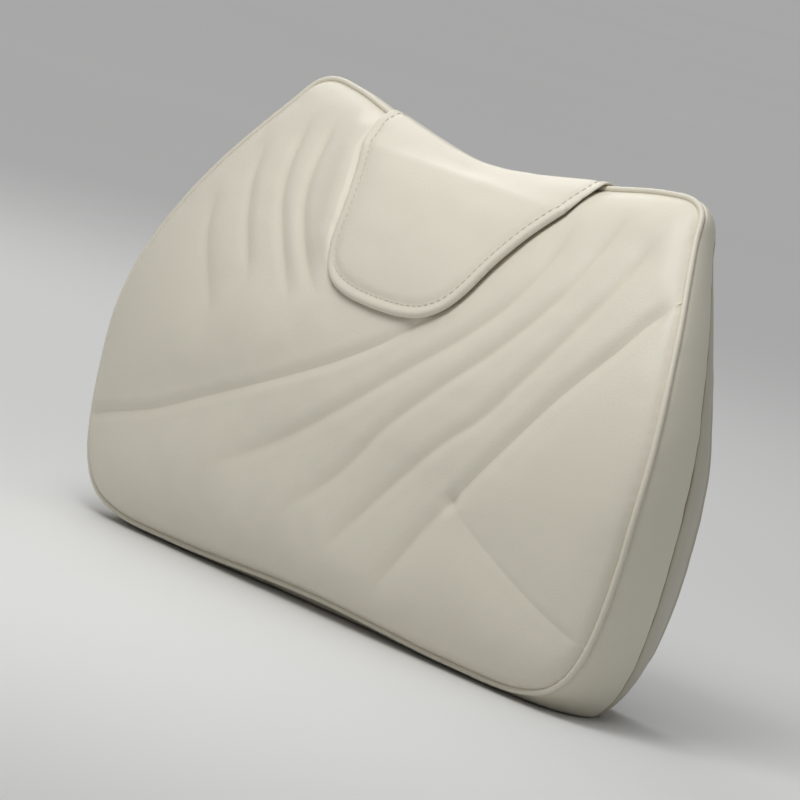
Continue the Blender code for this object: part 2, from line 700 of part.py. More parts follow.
def make_tongue():
    leather = material("leather", LEATHER_CREAM, 0.45)
    make_tongue_layer("tongue_lining", TONGUE_LINING, 0.0, material("liner_leather",
                                                                   LEATHER_SHADE, 0.6))
    make_tongue_layer("tongue_pad", TONGUE_PAD, 0.003, material("wadding", FOAM_WHITE, 0.9))
    make_tongue_layer("tongue_outer", TONGUE_OUTER, 0.0, leather)
    make_tongue_root(leather)


def top_index(x):
    """The place round the loop, along the top edge, where the front seam passes x."""
    run = np.arange(EAR_RIGHT, EAR_LEFT + 1)[::-1]
    return float(np.interp(x, LOOP[run, 0], run))


def tongue_route(x):
    """Points (x, y, z) of the tongue's fixed end, from the fold line over the top to the back."""
    index = top_index(x)
    seam_z = float(np.interp(x, *LOOP[EAR_RIGHT:EAR_LEFT + 1][::-1].T))
    seam = float(seam_depth(seam_z))
    fold = front_point(x * TONGUE_TOP_HALF / ROOT_HALF, HINGE_Z + GAP, -TONGUE_OUTER[1])
    route = [fold]
    route += [(x, REAR_Y - seam - forward, seam_z + above) for forward, above in OVER_WELT]
    for share in ROOT_SHARES:
        side_x, side_y, side_z = side_point(index, share)
        route.append((side_x, side_y, side_z + ROOT_CLEAR))
    return smooth_open(route, 2)


def make_tongue_root(leather):
    """The fixed end of the tongue: from the fold line over the top edge to the back."""
    rows = len(tongue_route(0.0)) - 1

    def place(u, v):
        return tongue_route(ROOT_HALF * (2 * u - 1))[round(v * rows)]

    add_thickness(add_object("tongue_root", mapped_grid(10, rows, place), leather), LEATHER)


# ---- label -------------------------------------------------------------------------------------------
def make_label():
    """A blank folded care label, sewn into the side seam on the left, near the base."""
    middle = BOTTOM_LEFT - 1.6 * LOOP_STEPS
    start, end = LABEL_SHARES

    def place(u, v):
        index = middle + (u - 0.5) * LABEL_SPAN
        x, y, z = side_point(index, BAND_SPLIT + start + (end - start) * (1 - v))
        return x - LABEL_LIFT, y, z

    label = add_object("care_label", mapped_grid(2, 3, place), material("label", LABEL_WHITE))
    add_thickness(label, LINER - WELD)


clear_scene()
PARTS = new_collection("lumbar_cushion")
CUTTERS = new_collection("cutters")
make_foam_core()
make_liner()
make_wadding()
make_front_panels()
make_welt()
make_bands()
make_back()
make_zip()
make_slider()
make_tongue()
make_label()
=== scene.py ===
"""Looks of the lumbar cushion: leather panels, pleats, tongue, piping, side bands, mesh back and zip.

Row frame, metres: +X to the viewer's right, +Y to the flat back, +Z up. "Depth" is the distance
forward of the back plane, and (x, z) is a place in the front view.
"""
import json
import math

import bmesh
import bpy
import numpy as np
from mathutils import Matrix, Vector, geometry, kdtree, noise


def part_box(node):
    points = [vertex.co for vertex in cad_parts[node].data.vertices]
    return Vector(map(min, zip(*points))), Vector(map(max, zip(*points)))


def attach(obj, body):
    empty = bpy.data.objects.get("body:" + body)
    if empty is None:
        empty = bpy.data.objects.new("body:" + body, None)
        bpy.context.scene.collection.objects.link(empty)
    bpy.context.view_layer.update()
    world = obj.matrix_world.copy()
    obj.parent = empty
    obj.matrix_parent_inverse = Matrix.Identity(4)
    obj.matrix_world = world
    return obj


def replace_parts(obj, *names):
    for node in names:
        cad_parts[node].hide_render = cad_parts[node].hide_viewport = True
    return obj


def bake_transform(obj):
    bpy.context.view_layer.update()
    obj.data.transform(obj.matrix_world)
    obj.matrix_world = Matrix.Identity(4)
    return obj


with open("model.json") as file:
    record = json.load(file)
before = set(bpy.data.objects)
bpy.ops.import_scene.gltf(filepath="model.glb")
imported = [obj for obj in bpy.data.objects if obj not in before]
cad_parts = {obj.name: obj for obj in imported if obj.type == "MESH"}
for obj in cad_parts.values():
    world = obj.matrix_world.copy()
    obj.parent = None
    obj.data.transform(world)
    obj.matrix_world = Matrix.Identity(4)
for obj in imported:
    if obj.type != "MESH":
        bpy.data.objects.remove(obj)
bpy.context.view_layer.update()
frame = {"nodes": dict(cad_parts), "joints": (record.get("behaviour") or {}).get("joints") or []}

# ---- places taken from the frame ----
def joint_place(name):
    return Vector(next(j["pos_m"] for j in frame["joints"] if j["name"] == name))


REAR_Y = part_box("back_panel")[1].y
PULL_AXIS = joint_place("pull_swing")
ZIP_Z = (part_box("zip_coil_upper")[0].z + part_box("zip_coil_lower")[1].z) / 2

# ---- the cushion's form, as in the CAD source apart from BAND_START ----
BOTTOM_CORNER = (0.186, 0.013)
EAR = (0.1505, 0.250)
HALF_OUTLINE = [
    (0.0, 0.006), (0.110, 0.003), (0.165, 0.005), BOTTOM_CORNER, (0.199, 0.031), (0.207, 0.081),
    (0.204, 0.133), (0.185, 0.188), (0.158, 0.237), EAR, (0.141, 0.2545), (0.119, 0.2535),
    (0.074, 0.245), (0.0, 0.236),
]
SEAM_DEPTH, SEAM_DROP, DROP_START, DROP_SPAN, DROP_POWER = 0.080, 0.049, 0.095, 0.160, 1.7
CROWN, CROWN_TOP, CROWN_BOTTOM = 0.016, 0.120, 0.060
REAR_SCALE = np.array([0.84, 0.905])
REAR_LIFT = 0.004
TAPER_POWER = 1.5
SIDE_BULGE, TOP_BULGE_LOSS, BOTTOM_BULGE = 0.005, 0.0035, 0.009
BAND_START = 0.0042          # the side starts this far behind the front seam, close to the piping
LOOP_STEPS = 24
STEEPEST = 1.6               # slope beyond which the front's normals are held

WRAP_SEAM = [(-0.2035, 0.0475), (-0.190, 0.052), (-0.145, 0.065), (-0.095, 0.086), (-0.050, 0.106),
             (-0.009, 0.127), (0.020, 0.147), (0.048, 0.180), (0.064, 0.215), (0.071, 0.2445)]
RIGHT_SEAM = [(0.1745, 0.2085), (0.166, 0.194), (0.158, 0.176), (0.142, 0.150), (0.118, 0.111),
              (0.097, 0.081)]
LOWER_SEAM = [(0.097, 0.081), (0.118, 0.070), (0.145, 0.058), (0.172, 0.047), (0.2005, 0.037)]


# ---- curves ----
def catmull_rom(p0, p1, p2, p3, steps):
    """Points from p1 up to, not with, p2 on a centripetal Catmull-Rom curve."""
    knots = [0.0]
    for a, b in ((p0, p1), (p1, p2), (p2, p3)):
        knots.append(knots[-1] + math.sqrt(np.linalg.norm(b - a)))
    t = np.linspace(knots[1], knots[2], steps, endpoint=False)[:, None]

    def mix(a, b, start, end):
        return ((end - t) * a + (t - start) * b) / (end - start)

    a1 = mix(p0, p1, knots[0], knots[1])
    a2 = mix(p1, p2, knots[1], knots[2])
    a3 = mix(p2, p3, knots[2], knots[3])
    b1 = mix(a1, a2, knots[0], knots[2])
    b2 = mix(a2, a3, knots[1], knots[3])
    return mix(b1, b2, knots[1], knots[2])


def smooth_open(points, steps=12):
    p = [np.array(q, float) for q in points]
    p = [2 * p[0] - p[1]] + p + [2 * p[-1] - p[-2]]
    parts = [catmull_rom(*p[i:i + 4], steps) for i in range(len(p) - 3)]
    return np.vstack(parts + [p[-2][None, :]])


def smooth_loop(half):
    mirrored = [(-x, z) for x, z in half[-2:0:-1]]
    p = [np.array(q, float) for q in half + mirrored]
    n = len(p)
    parts = [catmull_rom(p[i - 1], p[i], p[(i + 1) % n], p[(i + 2) % n], LOOP_STEPS)
             for i in range(n)]
    return np.vstack(parts)


def lengths(points):
    """Distance along a polyline at each of its points."""
    return np.concatenate([[0], np.cumsum(np.linalg.norm(np.diff(points, axis=0), axis=1))])


def values_at(at, run, values):
    """Rows of values, known at distances along a run, at other distances along it."""
    return np.stack([np.interp(at, run, column) for column in values.T], axis=1)


def resample(points, spacing):
    """An open polyline with its points about a spacing apart."""
    run = lengths(points)
    at = np.linspace(0, run[-1], max(2, int(round(run[-1] / spacing)) + 1))
    return values_at(at, run, points)


def outward(points):
    along = np.roll(points, -1, axis=0) - np.roll(points, 1, axis=0)
    normal = np.stack([along[:, 1], -along[:, 0]], axis=1)
    return normal / np.linalg.norm(normal, axis=1)[:, None]


def drawn_in(ring, gap):
    """A closed outline moved inward by a gap."""
    return ring - outward(ring) * gap


def closed(ring):
    return np.vstack([ring, ring[:1]])


def distance_to(places, line):
    """Distance of each place to a polyline, and how far along the line the nearest point is."""
    best = np.full(len(places), 1e9)
    where = np.zeros(len(places))
    run = lengths(line)
    for i in range(len(line) - 1):
        a, ab = line[i], line[i + 1] - line[i]
        share = np.clip(((places - a) @ ab) / (ab @ ab), 0, 1)
        gap = np.linalg.norm(places - a - share[:, None] * ab, axis=1)
        nearer = gap < best
        best[nearer] = gap[nearer]
        where[nearer] = (run[i] + share * (run[i + 1] - run[i]))[nearer]
    return best, where


def inside(places, ring):
    """Whether each place lies inside a closed polygon."""
    x, z = places[:, 0], places[:, 1]
    found = np.zeros(len(places), bool)
    for (x0, z0), (x1, z1) in zip(ring, np.roll(ring, -1, axis=0)):
        if z0 == z1:
            continue
        crosses = (z0 > z) != (z1 > z)
        found ^= crosses & (x < (x1 - x0) * (z - z0) / (z1 - z0) + x0)
    return found


def smoothstep(s):
    s = np.clip(s, 0, 1)
    return s * s * (3 - 2 * s)


LOOP = smooth_loop(HALF_OUTLINE)
LOOP_OUT = outward(LOOP)
BOTTOM_RIGHT = HALF_OUTLINE.index(BOTTOM_CORNER) * LOOP_STEPS
EAR_RIGHT = HALF_OUTLINE.index(EAR) * LOOP_STEPS
EAR_LEFT = len(LOOP) - EAR_RIGHT
TOP_MIDDLE = (len(HALF_OUTLINE) - 1) * LOOP_STEPS
WIDEST = int(np.argmax(LOOP[:, 0]))


# ---- the surfaces ----
def seam_depth(z):
    rise = np.clip((np.asarray(z) - DROP_START) / DROP_SPAN, 0, None)
    return SEAM_DEPTH - SEAM_DROP * rise ** DROP_POWER


def quarter_round(s):
    return np.sqrt(1 - (1 - np.clip(s, 0, 1)) ** 2)


def front_depth(x, z):
    x = np.abs(x)
    upper = LOOP[WIDEST:TOP_MIDDLE + 1][::-1]
    lower = LOOP[:WIDEST + 1]
    side = LOOP[BOTTOM_RIGHT:EAR_RIGHT + 1]
    top = np.interp(x, upper[:, 0], upper[:, 1])
    bottom = np.interp(x, lower[:, 0], lower[:, 1])
    half = np.interp(z, side[:, 1], side[:, 0])
    across = np.sqrt(np.clip(1 - (x / half) ** 2, 0, 1))
    rise = quarter_round((top - z) / CROWN_TOP) * quarter_round((z - bottom) / CROWN_BOTTOM)
    return seam_depth(z) + CROWN * across * rise


def front_points(places, out=0.0):
    """Points on the front at (x, z) places, moved out square to the surface."""
    x, z = places[:, 0], places[:, 1]
    step = 0.001
    along_x = (front_depth(x + step, z) - front_depth(x - step, z)) / (2 * step)
    along_z = (front_depth(x, z + step) - front_depth(x, z - step)) / (2 * step)
    along_x = np.clip(along_x, -STEEPEST, STEEPEST)
    along_z = np.clip(along_z, -STEEPEST, STEEPEST)
    share = out / np.sqrt(1 + along_x ** 2 + along_z ** 2)
    return np.stack([x - along_x * share, REAR_Y - front_depth(x, z) - share,
                     z - along_z * share], axis=1)


# ---- camera, light and floor ----
LEAN = math.radians(19.8)        # the cushion leans back this far on its seat, and stands upright here
CAMERA_AZIMUTH = math.radians(50.5)
CAMERA_ELEVATION = math.radians(21.3)
CAMERA_DISTANCE = 3.0
AIM_RIGHT, AIM_UP = -0.0099, 0.1147   # where the view's middle lies from the back of the base
VIEW_WIDTH = 0.4125


def from_seat(right, forward, up):
    """A direction in the leaning seat's level frame, turned into the row frame."""
    depth = forward * math.cos(LEAN) + up * math.sin(LEAN)
    return Vector((right, -depth, up * math.cos(LEAN) - forward * math.sin(LEAN)))


def make_camera():
    towards = from_seat(math.sin(CAMERA_AZIMUTH) * math.cos(CAMERA_ELEVATION),
                        math.cos(CAMERA_AZIMUTH) * math.cos(CAMERA_ELEVATION),
                        math.sin(CAMERA_ELEVATION))
    right = from_seat(math.cos(CAMERA_AZIMUTH), -math.sin(CAMERA_AZIMUTH), 0)
    up = towards.cross(right)
    base = Vector((0, REAR_Y, 0))
    place = base + towards * CAMERA_DISTANCE
    aim = base + right * AIM_RIGHT + up * AIM_UP
    back = (place - aim).normalized()
    side = up.cross(back).normalized()
    data = bpy.data.cameras.new("camera")
    data.sensor_width = 36
    data.lens = 36 * CAMERA_DISTANCE / VIEW_WIDTH
    data.clip_end = 200
    camera = bpy.data.objects.new("camera", data)
    camera.matrix_world = Matrix((
        (side.x, back.cross(side).x, back.x, place.x),
        (side.y, back.cross(side).y, back.y, place.y),
        (side.z, back.cross(side).z, back.z, place.z),
        (0, 0, 0, 1)))
    bpy.context.scene.collection.objects.link(camera)
    bpy.context.scene.camera = camera


def area_light(name, place, size, power, color):
    data = bpy.data.lights.new(name, "AREA")
    data.shape = "RECTANGLE"
    data.size, data.size_y = size
    data.energy = power
    data.color = color
    light = bpy.data.objects.new(name, data)
    light.location = place
    aim = Vector((0, 0, 0.12)) - Vector(place)
    light.rotation_mode = "QUATERNION"
    light.rotation_quaternion = aim.to_track_quat("-Z", "Y")
    bpy.context.scene.collection.objects.link(light)


def make_stage():
    bm = bmesh.new()
    bmesh.ops.create_circle(bm, cap_ends=True, segments=64, radius=60)
    mesh = bpy.data.meshes.new("floor")
    bm.to_mesh(mesh)
    bm.free()
    floor = bpy.data.objects.new("floor", mesh)
    floor.location.z = -0.0005
    bpy.context.scene.collection.objects.link(floor)
    mesh.materials.append(floor_material())
    world = bpy.data.worlds.new("studio")
    world.use_nodes = True
    world.node_tree.nodes["Background"].inputs["Color"].default_value = (0.88, 0.89, 0.90, 1)
    world.node_tree.nodes["Background"].inputs["Strength"].default_value = 0.30
    bpy.context.scene.world = world
    area_light("key", (0.09, -0.38, 0.74), (0.34, 0.34), 2.4, (1.0, 1.0, 0.99))
    area_light("rim", (-1.3, 0.5, 1.1), (0.8, 0.8), 5.0, (1.0, 1.0, 1.0))
    sky = bpy.data.lights.new("sky", "SUN")
    sky.energy = 1.0
    sky.angle = math.radians(60)
    overhead = bpy.data.objects.new("sky", sky)
    overhead.rotation_mode = "QUATERNION"
    overhead.rotation_quaternion = Vector((0.05, 0.15, -0.98)).to_track_quat("-Z", "Y")
    bpy.context.scene.collection.objects.link(overhead)
    bpy.context.scene.view_settings.view_transform = "Standard"


# ---- materials ----
class Paint:
    """A Principled material and short ways to add nodes to it."""

    def __init__(self, name, roughness=0.5, metallic=0.0, specular=0.5):
        self.mat = bpy.data.materials.new(name)
        self.mat.use_nodes = True
        self.tree = self.mat.node_tree
        self.shader = self.tree.nodes["Principled BSDF"]
        self.shader.inputs["Roughness"].default_value = roughness
        self.shader.inputs["Metallic"].default_value = metallic
        self.shader.inputs["Specular IOR Level"].default_value = specular
        self.place = self.tree.nodes.new("ShaderNodeTexCoord").outputs["Object"]

    def link(self, source, target):
        self.tree.links.new(source, target)

    def set(self, socket, value):
        """A link where the value is another node's output, and otherwise a plain number."""
        if isinstance(value, bpy.types.NodeSocket):
            self.link(value, socket)
        else:
            socket.default_value = value

    def noise(self, scale, detail=3.0, stretch=None):
        node = self.tree.nodes.new("ShaderNodeTexNoise")
        node.inputs["Scale"].default_value = scale
        node.inputs["Detail"].default_value = detail
        self.link(self.stretched(stretch) if stretch else self.place, node.inputs["Vector"])
        return node.outputs["Fac"]

    def cells(self, size, smooth=0.6):
        node = self.tree.nodes.new("ShaderNodeTexVoronoi")
        node.feature = "SMOOTH_F1"
        node.inputs["Scale"].default_value = 1 / size
        node.inputs["Smoothness"].default_value = smooth
        self.link(self.place, node.inputs["Vector"])
        return node.outputs["Distance"]

    def stretched(self, scale):
        node = self.tree.nodes.new("ShaderNodeMapping")
        node.inputs["Scale"].default_value = scale
        self.link(self.place, node.inputs["Vector"])
        return node.outputs["Vector"]

    def coordinate(self, axis):
        node = self.tree.nodes.new("ShaderNodeSeparateXYZ")
        self.link(self.place, node.inputs[0])
        return node.outputs[axis]

    def math(self, operation, *values):
        node = self.tree.nodes.new("ShaderNodeMath")
        node.operation = operation
        for socket, value in zip(node.inputs, values):
            self.set(socket, value)
        return node.outputs[0]

    def wave(self, value, period, phase=0.0):
        """A cosine of a coordinate, from -1 to 1."""
        turned = self.math("MULTIPLY_ADD", value, 2 * math.pi / period, phase)
        return self.math("COSINE", turned)

    def mix(self, share, low, high):
        node = self.tree.nodes.new("ShaderNodeMix")
        node.data_type = "RGBA"
        self.link(share, node.inputs["Factor"])
        for name, value in (("A", low), ("B", high)):
            self.set(node.inputs[name], (*value, 1) if isinstance(value, tuple) else value)
        return node.outputs["Result"]

    def spread(self, value, low, high):
        node = self.tree.nodes.new("ShaderNodeMapRange")
        node.inputs["To Min"].default_value = low
        node.inputs["To Max"].default_value = high
        self.link(value, node.inputs["Value"])
        return node.outputs["Result"]

    def attribute(self, name):
        node = self.tree.nodes.new("ShaderNodeAttribute")
        node.attribute_name = name
        return node.outputs["Fac"]

    def bump(self, height, distance):
        node = self.tree.nodes.new("ShaderNodeBump")
        node.inputs["Strength"].default_value = 1.0
        node.inputs["Distance"].default_value = distance
        self.link(height, node.inputs["Height"])
        self.link(node.outputs["Normal"], self.shader.inputs["Normal"])

    def color(self, socket):
        self.link(socket, self.shader.inputs["Base Color"])

    def rough(self, socket):
        self.link(socket, self.shader.inputs["Roughness"])

    def sheen(self, weight, roughness=0.5):
        self.shader.inputs["Sheen Weight"].default_value = weight
        self.shader.inputs["Sheen Roughness"].default_value = roughness


def scaled(color, share):
    return tuple(min(1.0, c * share) for c in color)


def floor_material():
    paint = Paint("floor", 0.85, specular=0.3)
    paint.color(paint.mix(paint.noise(1.5), (0.66, 0.66, 0.65), (0.69, 0.69, 0.68)))
    return paint.mat


def leather(name, color, grain=0.0011, rough=(0.40, 0.52)):
    """Soft nappa leather: fine pebbled grain, satin, and painted shade, warmer and darker, in its
    creases.
    """
    paint = Paint(name, specular=0.45)
    soft = paint.noise(14)
    tint = paint.mix(soft, scaled(color, 0.97), scaled(color, 1.03))
    pores = paint.cells(grain)
    tint = paint.mix(paint.spread(pores, 0.0, 0.10), tint, scaled(color, 0.80))
    # painted shade: the leather is darkened and warmed where its per-point crease shading is high, in
    # creases, seams and at band edges
    shade = (color[0] * 0.80, color[1] * 0.77, color[2] * 0.70)
    paint.color(paint.mix(paint.attribute("crease_shade"), tint, shade))
    paint.rough(paint.spread(paint.noise(60), *rough))
    paint.bump(paint.math("MULTIPLY_ADD", paint.noise(2400, 4), 0.5, pores), 0.00005)
    paint.sheen(0.05)
    return paint.mat


def spacer_mesh(name, color):
    """Knitted spacer fabric: rows of round openings with yarn bridges between them, painted shade
    inside the openings.
    """
    cell = 0.0034
    paint = Paint(name, 0.85, specular=0.25)
    x, z = paint.coordinate("X"), paint.coordinate("Z")
    row = cell * math.sqrt(3)
    pillar = paint.math("MULTIPLY", paint.wave(x, cell), paint.wave(z, row))
    openings = paint.math("SMOOTH_MAX", pillar, 0.0, 0.2)
    yarn = paint.math("MULTIPLY", paint.wave(x, 0.0008), paint.wave(z, 0.0006))
    height = paint.math("MULTIPLY_ADD", yarn, 0.08, paint.math("MULTIPLY", openings, -1.0))
    paint.bump(height, 0.0009)
    lit = paint.mix(paint.noise(160), scaled(color, 0.92), scaled(color, 1.10))
    # the openings are painted dark: painted shade inside the holes
    paint.color(paint.mix(paint.spread(openings, 0.0, 1.0), lit, scaled(color, 0.22)))
    paint.sheen(0.25)
    return paint.mat


def woven(name, color, pitch, depth, rough=0.8, sheen=0.2):
    """A plain or ribbed weave, its threads along X and Z."""
    paint = Paint(name, rough, specular=0.3)
    across = paint.wave(paint.coordinate("X"), pitch)
    up = paint.wave(paint.coordinate("Z"), pitch * 1.3)
    weave = paint.math("MULTIPLY", across, up)
    paint.bump(weave, depth)
    lit = paint.mix(paint.noise(220), scaled(color, 0.93), scaled(color, 1.05))
    paint.color(paint.mix(paint.spread(weave, 0.0, 0.25), lit, scaled(color, 0.7)))
    paint.sheen(sheen)
    return paint.mat


def fibrous(name, color, size, depth):
    """Foam or fibre filling: open cells with an uneven, matt surface, and painted shade in the cells'
    pits.
    """
    paint = Paint(name, 0.95, specular=0.2)
    cells = paint.cells(size, 0.3)
    paint.bump(cells, depth)
    # the cells' pits are painted darker: painted shade
    paint.color(paint.mix(cells, scaled(color, 0.85), color))
    return paint.mat


def thread(name, color):
    """Twisted polyester thread: a fine slanting ply and a soft shine."""
    paint = Paint(name, 0.5, specular=0.4)
    slant = paint.math("ADD", paint.coordinate("X"), paint.coordinate("Z"))
    ply = paint.wave(slant, 0.0007)
    paint.bump(ply, 0.00006)
    paint.color(paint.mix(paint.spread(ply, 0.0, 0.3), color, scaled(color, 0.86)))
    return paint.mat


def nylon(name, color):
    """Moulded monofilament: smooth and slightly glossy, its shade a little uneven."""
    paint = Paint(name, 0.34, specular=0.5)
    uneven = paint.noise(300)
    paint.color(paint.mix(uneven, scaled(color, 0.92), scaled(color, 1.06)))
    paint.rough(paint.spread(uneven, 0.28, 0.42))
    paint.bump(paint.noise(1500), 0.00002)
    return paint.mat


def nickel(name):
    """Plated zinc, finely brushed, with small marks from handling."""
    paint = Paint(name, 0.28, 1.0)
    brushed = paint.noise(900, 4, (0.08, 1.0, 1.0))
    worn = paint.noise(120, 5)
    paint.color(paint.mix(worn, (0.62, 0.61, 0.58), (0.74, 0.73, 0.70)))
    paint.rough(paint.spread(brushed, 0.20, 0.42))
    paint.bump(brushed, 0.00002)
    return paint.mat


CREAM = (0.700, 0.658, 0.552)
MATS = {
    "cream": leather("cream_leather", CREAM),
    "side": leather("side_leather", (0.500, 0.465, 0.370)),
    "lining": leather("lining_leather", (0.600, 0.570, 0.490), grain=0.0007, rough=(0.6, 0.75)),
    "mesh": spacer_mesh("spacer_mesh", (0.36, 0.355, 0.34)),
    "thread": thread("thread", scaled(CREAM, 0.97)),
    "tape": woven("zip_tape", (0.60, 0.57, 0.49), 0.0009, 0.00012),
    "coil": nylon("zip_coil", (0.62, 0.59, 0.50)),
    "metal": nickel("zip_metal"),
    "label": woven("label", (0.80, 0.80, 0.77), 0.0005, 0.00004, 0.45, 0.3),
    "foam": fibrous("foam", (0.80, 0.77, 0.66), 0.0011, 0.0003),
    "wadding": fibrous("wadding", (0.86, 0.86, 0.84), 0.0035, 0.0008),
    "liner": woven("liner_knit", (0.78, 0.77, 0.73), 0.0012, 0.00015),
}


# ---- building pieces ----
def piece(name, points, faces, mat, body="cushion", crease_shade=None):
    """A smooth mesh that rides on a body, or on none yet."""
    mesh = bpy.data.meshes.new(name)
    mesh.from_pydata(np.asarray(points).tolist(), [], faces)
    mesh.update()
    # the per-point painted shade for creases, seams and edges, which the leather reads
    if crease_shade is not None:
        mesh.attributes.new("crease_shade", "FLOAT", "POINT").data.foreach_set(
            "value", np.asarray(crease_shade, np.float32))
    return finished(name, mesh, mat, body)


def finished(name, mesh, mat, body):
    """An object of a smooth mesh with its material and slot, on a body where one is given."""
    mesh.shade_smooth()
    mesh.materials.append(MATS[mat])
    obj = bpy.data.objects.new(name, mesh)
    bpy.context.scene.collection.objects.link(obj)
    if body:
        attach(obj, body)
    return obj


def sharpen_outline(mesh):
    """Keep a sheet's shading clean up to its cut edge, where it turns into the seam."""
    bm = bmesh.new()
    bm.from_mesh(mesh)
    for edge in bm.edges:
        edge.smooth = not edge.is_boundary
    bm.to_mesh(mesh)
    bm.free()


def weld(mesh, distance):
    """Join points that lie within a distance of each other, and turn the faces outward."""
    bm = bmesh.new()
    bm.from_mesh(mesh)
    bmesh.ops.remove_doubles(bm, verts=bm.verts, dist=distance)
    bmesh.ops.recalc_face_normals(bm, faces=bm.faces)
    bm.to_mesh(mesh)
    bm.free()


def solidify(obj, thickness):
    solid = obj.modifiers.new("Thickness", "SOLIDIFY")
    solid.thickness = thickness
    solid.offset = -1


def grid_faces(rows, columns, wrap=False):
    """Quads of a rows x columns grid of points, row by row."""
    index = np.arange(rows * columns).reshape(rows, columns)
    if wrap:
        index = np.hstack([index, index[:, :1]])
    quads = np.stack([index[:-1, :-1], index[:-1, 1:], index[1:, 1:], index[1:, :-1]], axis=-1)
    return quads.reshape(-1, 4).tolist()


def unit(vectors):
    return vectors / np.linalg.norm(vectors, axis=-1, keepdims=True)


def fractal(points, size, seed=0.0):
    """Smooth noise about 0 at each point, with features of about a size."""
    shift = Vector((seed, 2 * seed, -seed))
    return np.array([noise.noise(Vector(p) / size + shift) for p in points.tolist()])


def rolled(gap, width):
    """0 at a width and beyond, rising to 1 at an edge along a quarter circle."""
    return 1 - quarter_round(gap / width)


ROW_CLEAR = 0.0006           # a fine row keeps this far from the outline
GRID_CLEAR = 0.55            # and the grid this share of its spacing from the outline and the rows


def hexagonal(low, high, spacing):
    """Places in a triangular pattern over a rectangle."""
    rows = np.arange(low[1], high[1], spacing * math.sqrt(3) / 2)
    places = []
    for i, z in enumerate(rows):
        xs = np.arange(low[0] + (i % 2) * spacing / 2, high[0], spacing)
        places.append(np.stack([xs, np.full(len(xs), z)], axis=1))
    return np.vstack(places)


def apart(places, others, distance):
    """The places that are at least a distance from all of the others."""
    tree = kdtree.KDTree(len(others))
    for i, (x, z) in enumerate(others):
        tree.insert((x, z, 0), i)
    tree.balance()
    return places[[tree.find((x, z, 0))[2] >= distance for x, z in places]]


def triangulated(ring, spacing, rows):
    """Triangles that fill an outline, with finer rows of places inside it."""
    extra = np.vstack([row[inside(row, ring)] for row in rows])
    extra = extra[distance_to(extra, closed(ring))[0] > ROW_CLEAR]
    grid = hexagonal(ring.min(axis=0), ring.max(axis=0), spacing)
    grid = grid[inside(grid, ring)]
    grid = grid[distance_to(grid, closed(ring))[0] > spacing * GRID_CLEAR]
    grid = apart(grid, extra, spacing * GRID_CLEAR)
    places = np.vstack([ring, grid, extra])
    edges = [(i, (i + 1) % len(ring)) for i in range(len(ring))]
    made = geometry.delaunay_2d_cdt([Vector(p) for p in places.tolist()], edges, [], 1, 1e-6)
    return np.array([tuple(v) for v in made[0]]), made[2]


ROD_SIDES = 6
STITCH_PITCH, STITCH_LENGTH, STITCH_RADIUS = 0.0040, 0.0034, 0.00026


def add_rod(points, faces, line, up, across, radii):
    """Add a round rod with closed ends, along a short line, to lists of points and faces."""
    turn = np.linspace(0, 2 * math.pi, ROD_SIDES, endpoint=False)
    start, rings = len(points), len(line)
    for k in range(rings):
        ring = (np.cos(turn)[:, None] * across[k] + np.sin(turn)[:, None] * up[k]) * radii[k]
        points.extend(line[k] + ring)
    faces += [[start + v for v in face] for face in grid_faces(rings, ROD_SIDES, True)]
    faces.append([start + k for k in range(ROD_SIDES)][::-1])
    faces.append([start + (rings - 1) * ROD_SIDES + k for k in range(ROD_SIDES)])


def stitches(name, path, normals, body):
    """A row of short stitches along a path, each arched out of the surface and sunk at its ends."""
    run = lengths(path)
    points, faces = [], []
    share = np.linspace(-1, 1, 5)
    for middle in np.arange(STITCH_PITCH / 2, run[-1] - STITCH_PITCH / 2, STITCH_PITCH):
        at = middle + share * STITCH_LENGTH / 2
        up = unit(values_at(at, run, normals))
        arch = STITCH_RADIUS * (0.9 - 1.9 * share[:, None] ** 4)
        line = values_at(at, run, path) + up * arch
        across = unit(np.cross(unit(np.gradient(line, axis=0)), up))
        add_rod(points, faces, line, up, across, STITCH_RADIUS * np.sqrt(1 - 0.75 * share ** 4))
    return piece(name, points, faces, "thread", body)


def tube(name, path, normals, radius, sides, mat):
    """A closed round cord along a closed path."""
    along = unit(np.roll(path, -1, axis=0) - np.roll(path, 1, axis=0))
    across = unit(np.cross(along, normals))
    up = np.cross(across, along)
    turn = np.linspace(0, 2 * math.pi, sides, endpoint=False)
    rings = [path + (across * math.cos(t) + up * math.sin(t)) * radius[:, None] for t in turn]
    points = np.stack(rings, axis=1).reshape(-1, 3)
    points = np.vstack([points, points[:sides]])
    obj = piece(name, points, grid_faces(len(path) + 1, sides, True), mat)
    weld(obj.data, 1e-7)
    return obj


# ---- front panels ----
FRONT_SPACING = 0.0020
FINE = 0.0015                # spacing along outlines and creases
PANEL_EDGE = 0.0016          # the front panels end this far inside the outline, against the welt
FRONT_EDGE = LOOP - LOOP_OUT * PANEL_EDGE
LEATHER = 0.0014
RIM_ROLL = 0.0050            # the front's rim turns down to the welt over this width
RIM_BEHIND = 0.0019          # and ends this far behind the front seam

